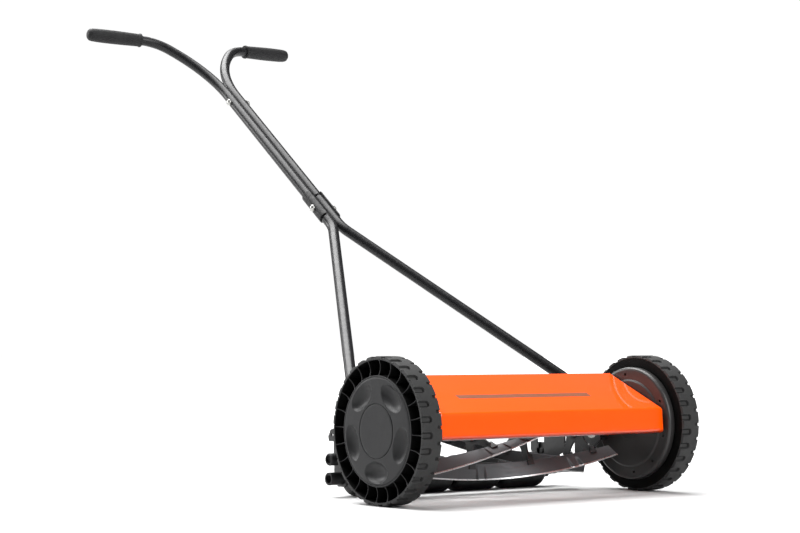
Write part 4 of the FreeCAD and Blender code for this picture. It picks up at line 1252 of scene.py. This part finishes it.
def finish_kept_nodes():
    """Give each CAD node that stays its finish and slightly broken edges."""
    for start, slot in KEPT.items():
        for node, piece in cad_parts.items():
            if not node.startswith(start) or (node != start and not start.endswith("_")):
                continue
            for place in range(max(1, len(piece.material_slots))):
                if not piece.material_slots:
                    piece.data.materials.append(FINISHES[slot])
                piece.material_slots[place].material = FINISHES[slot]
            weld = piece.modifiers.new("joined", "WELD")
            weld.merge_threshold = 0.002 * MM
            round_edges(piece, 0.25, 40.0)


# ---- studio

def make_floor():
    """Large seamless sheet under the mower."""
    mesh = bpy.data.meshes.new("studio_floor")
    reach = 40.0
    corners = [(-reach, -reach, 0), (reach, -reach, 0), (reach, reach, 0), (-reach, reach, 0)]
    mesh.from_pydata(corners, [], [(0, 1, 2, 3)])
    mesh.materials.append(studio_floor())
    placed("studio_floor", mesh)


def make_lamp(name, kind, spot, target, energy, **settings):
    """One soft studio light that shines at a point."""
    data = bpy.data.lights.new(name, kind)
    data.energy = energy
    for key, value in settings.items():
        setattr(data, key, value)
    lamp = placed(name, data)
    lamp.location = spot
    lamp.rotation_euler = (Vector(target) - lamp.location).to_track_quat("-Z", "Y").to_euler()


SURROUND_STRENGTH = 0.14
BACKDROP_STRENGTH = 1.02


def make_lights():
    """Dim even surround behind a white backdrop, a broad key above, a soft front light and a side box."""
    world = bpy.data.worlds.new("studio")
    world.use_nodes = True
    tree = world.node_tree
    surround, backdrop = tree.nodes["Background"], tree.nodes.new("ShaderNodeBackground")
    for node, strength in ((surround, SURROUND_STRENGTH), (backdrop, BACKDROP_STRENGTH)):
        node.inputs["Color"].default_value = (1, 1, 1, 1)
        node.inputs["Strength"].default_value = strength
    path = tree.nodes.new("ShaderNodeLightPath")
    chooser = tree.nodes.new("ShaderNodeMixShader")
    tree.links.new(path.outputs["Is Camera Ray"], chooser.inputs["Fac"])
    tree.links.new(surround.outputs["Background"], chooser.inputs[1])
    tree.links.new(backdrop.outputs["Background"], chooser.inputs[2])
    tree.links.new(chooser.outputs["Shader"], tree.nodes["World Output"].inputs["Surface"])
    bpy.context.scene.world = world
    make_lamp("key_sky", "SUN", (-0.3, 1.7, 4.0), (0, 0, 0), 7.8, angle=radians(60))
    make_lamp("front_sky", "SUN", (0.9, -4.0, 2.4), (0, 0, 0), 2.2, angle=radians(40))
    make_lamp("side_box", "AREA", (-1.5, 2.9, 1.4), (-0.2, -0.4, 0.1), 42.0,
              shape="RECTANGLE", size=1.2, size_y=0.9)


CAMERA_SPOT = (-1.9824, -2.6819, 0.2259)
CAMERA_TILT = 2.42
CAMERA_HEADING = -37.85


def make_camera():
    """Long-lens camera low in front of the mower's left wheel, tilted a little up."""
    data = bpy.data.cameras.new("camera")
    data.lens = 88.1
    data.sensor_width = 36.0
    data.clip_end = 200.0
    camera = placed("camera", data)
    camera.location = CAMERA_SPOT
    camera.rotation_euler = (radians(90.0 + CAMERA_TILT), 0.0, radians(CAMERA_HEADING))
    bpy.context.scene.camera = camera


def build():
    """Make every piece, the lights and the camera."""
    for name, side in SIDES:
        make_tyre(name, side)
        make_wheel(name, side)
        make_hub_cap(name, side)
        make_dish(name, side)
        make_knob(name, side)
        make_tubes(name, side)
        make_grip(name, side)
        make_saddle(name, side)
    make_hood()
    make_stripe()
    make_hood_screws()
    make_blades()
    make_spiders()
    make_rollers()
    make_end_caps()
    make_handle_bolts()
    finish_kept_nodes()
    make_floor()
    make_lights()
    make_camera()
    bpy.context.scene.view_settings.view_transform = "Standard"


build()
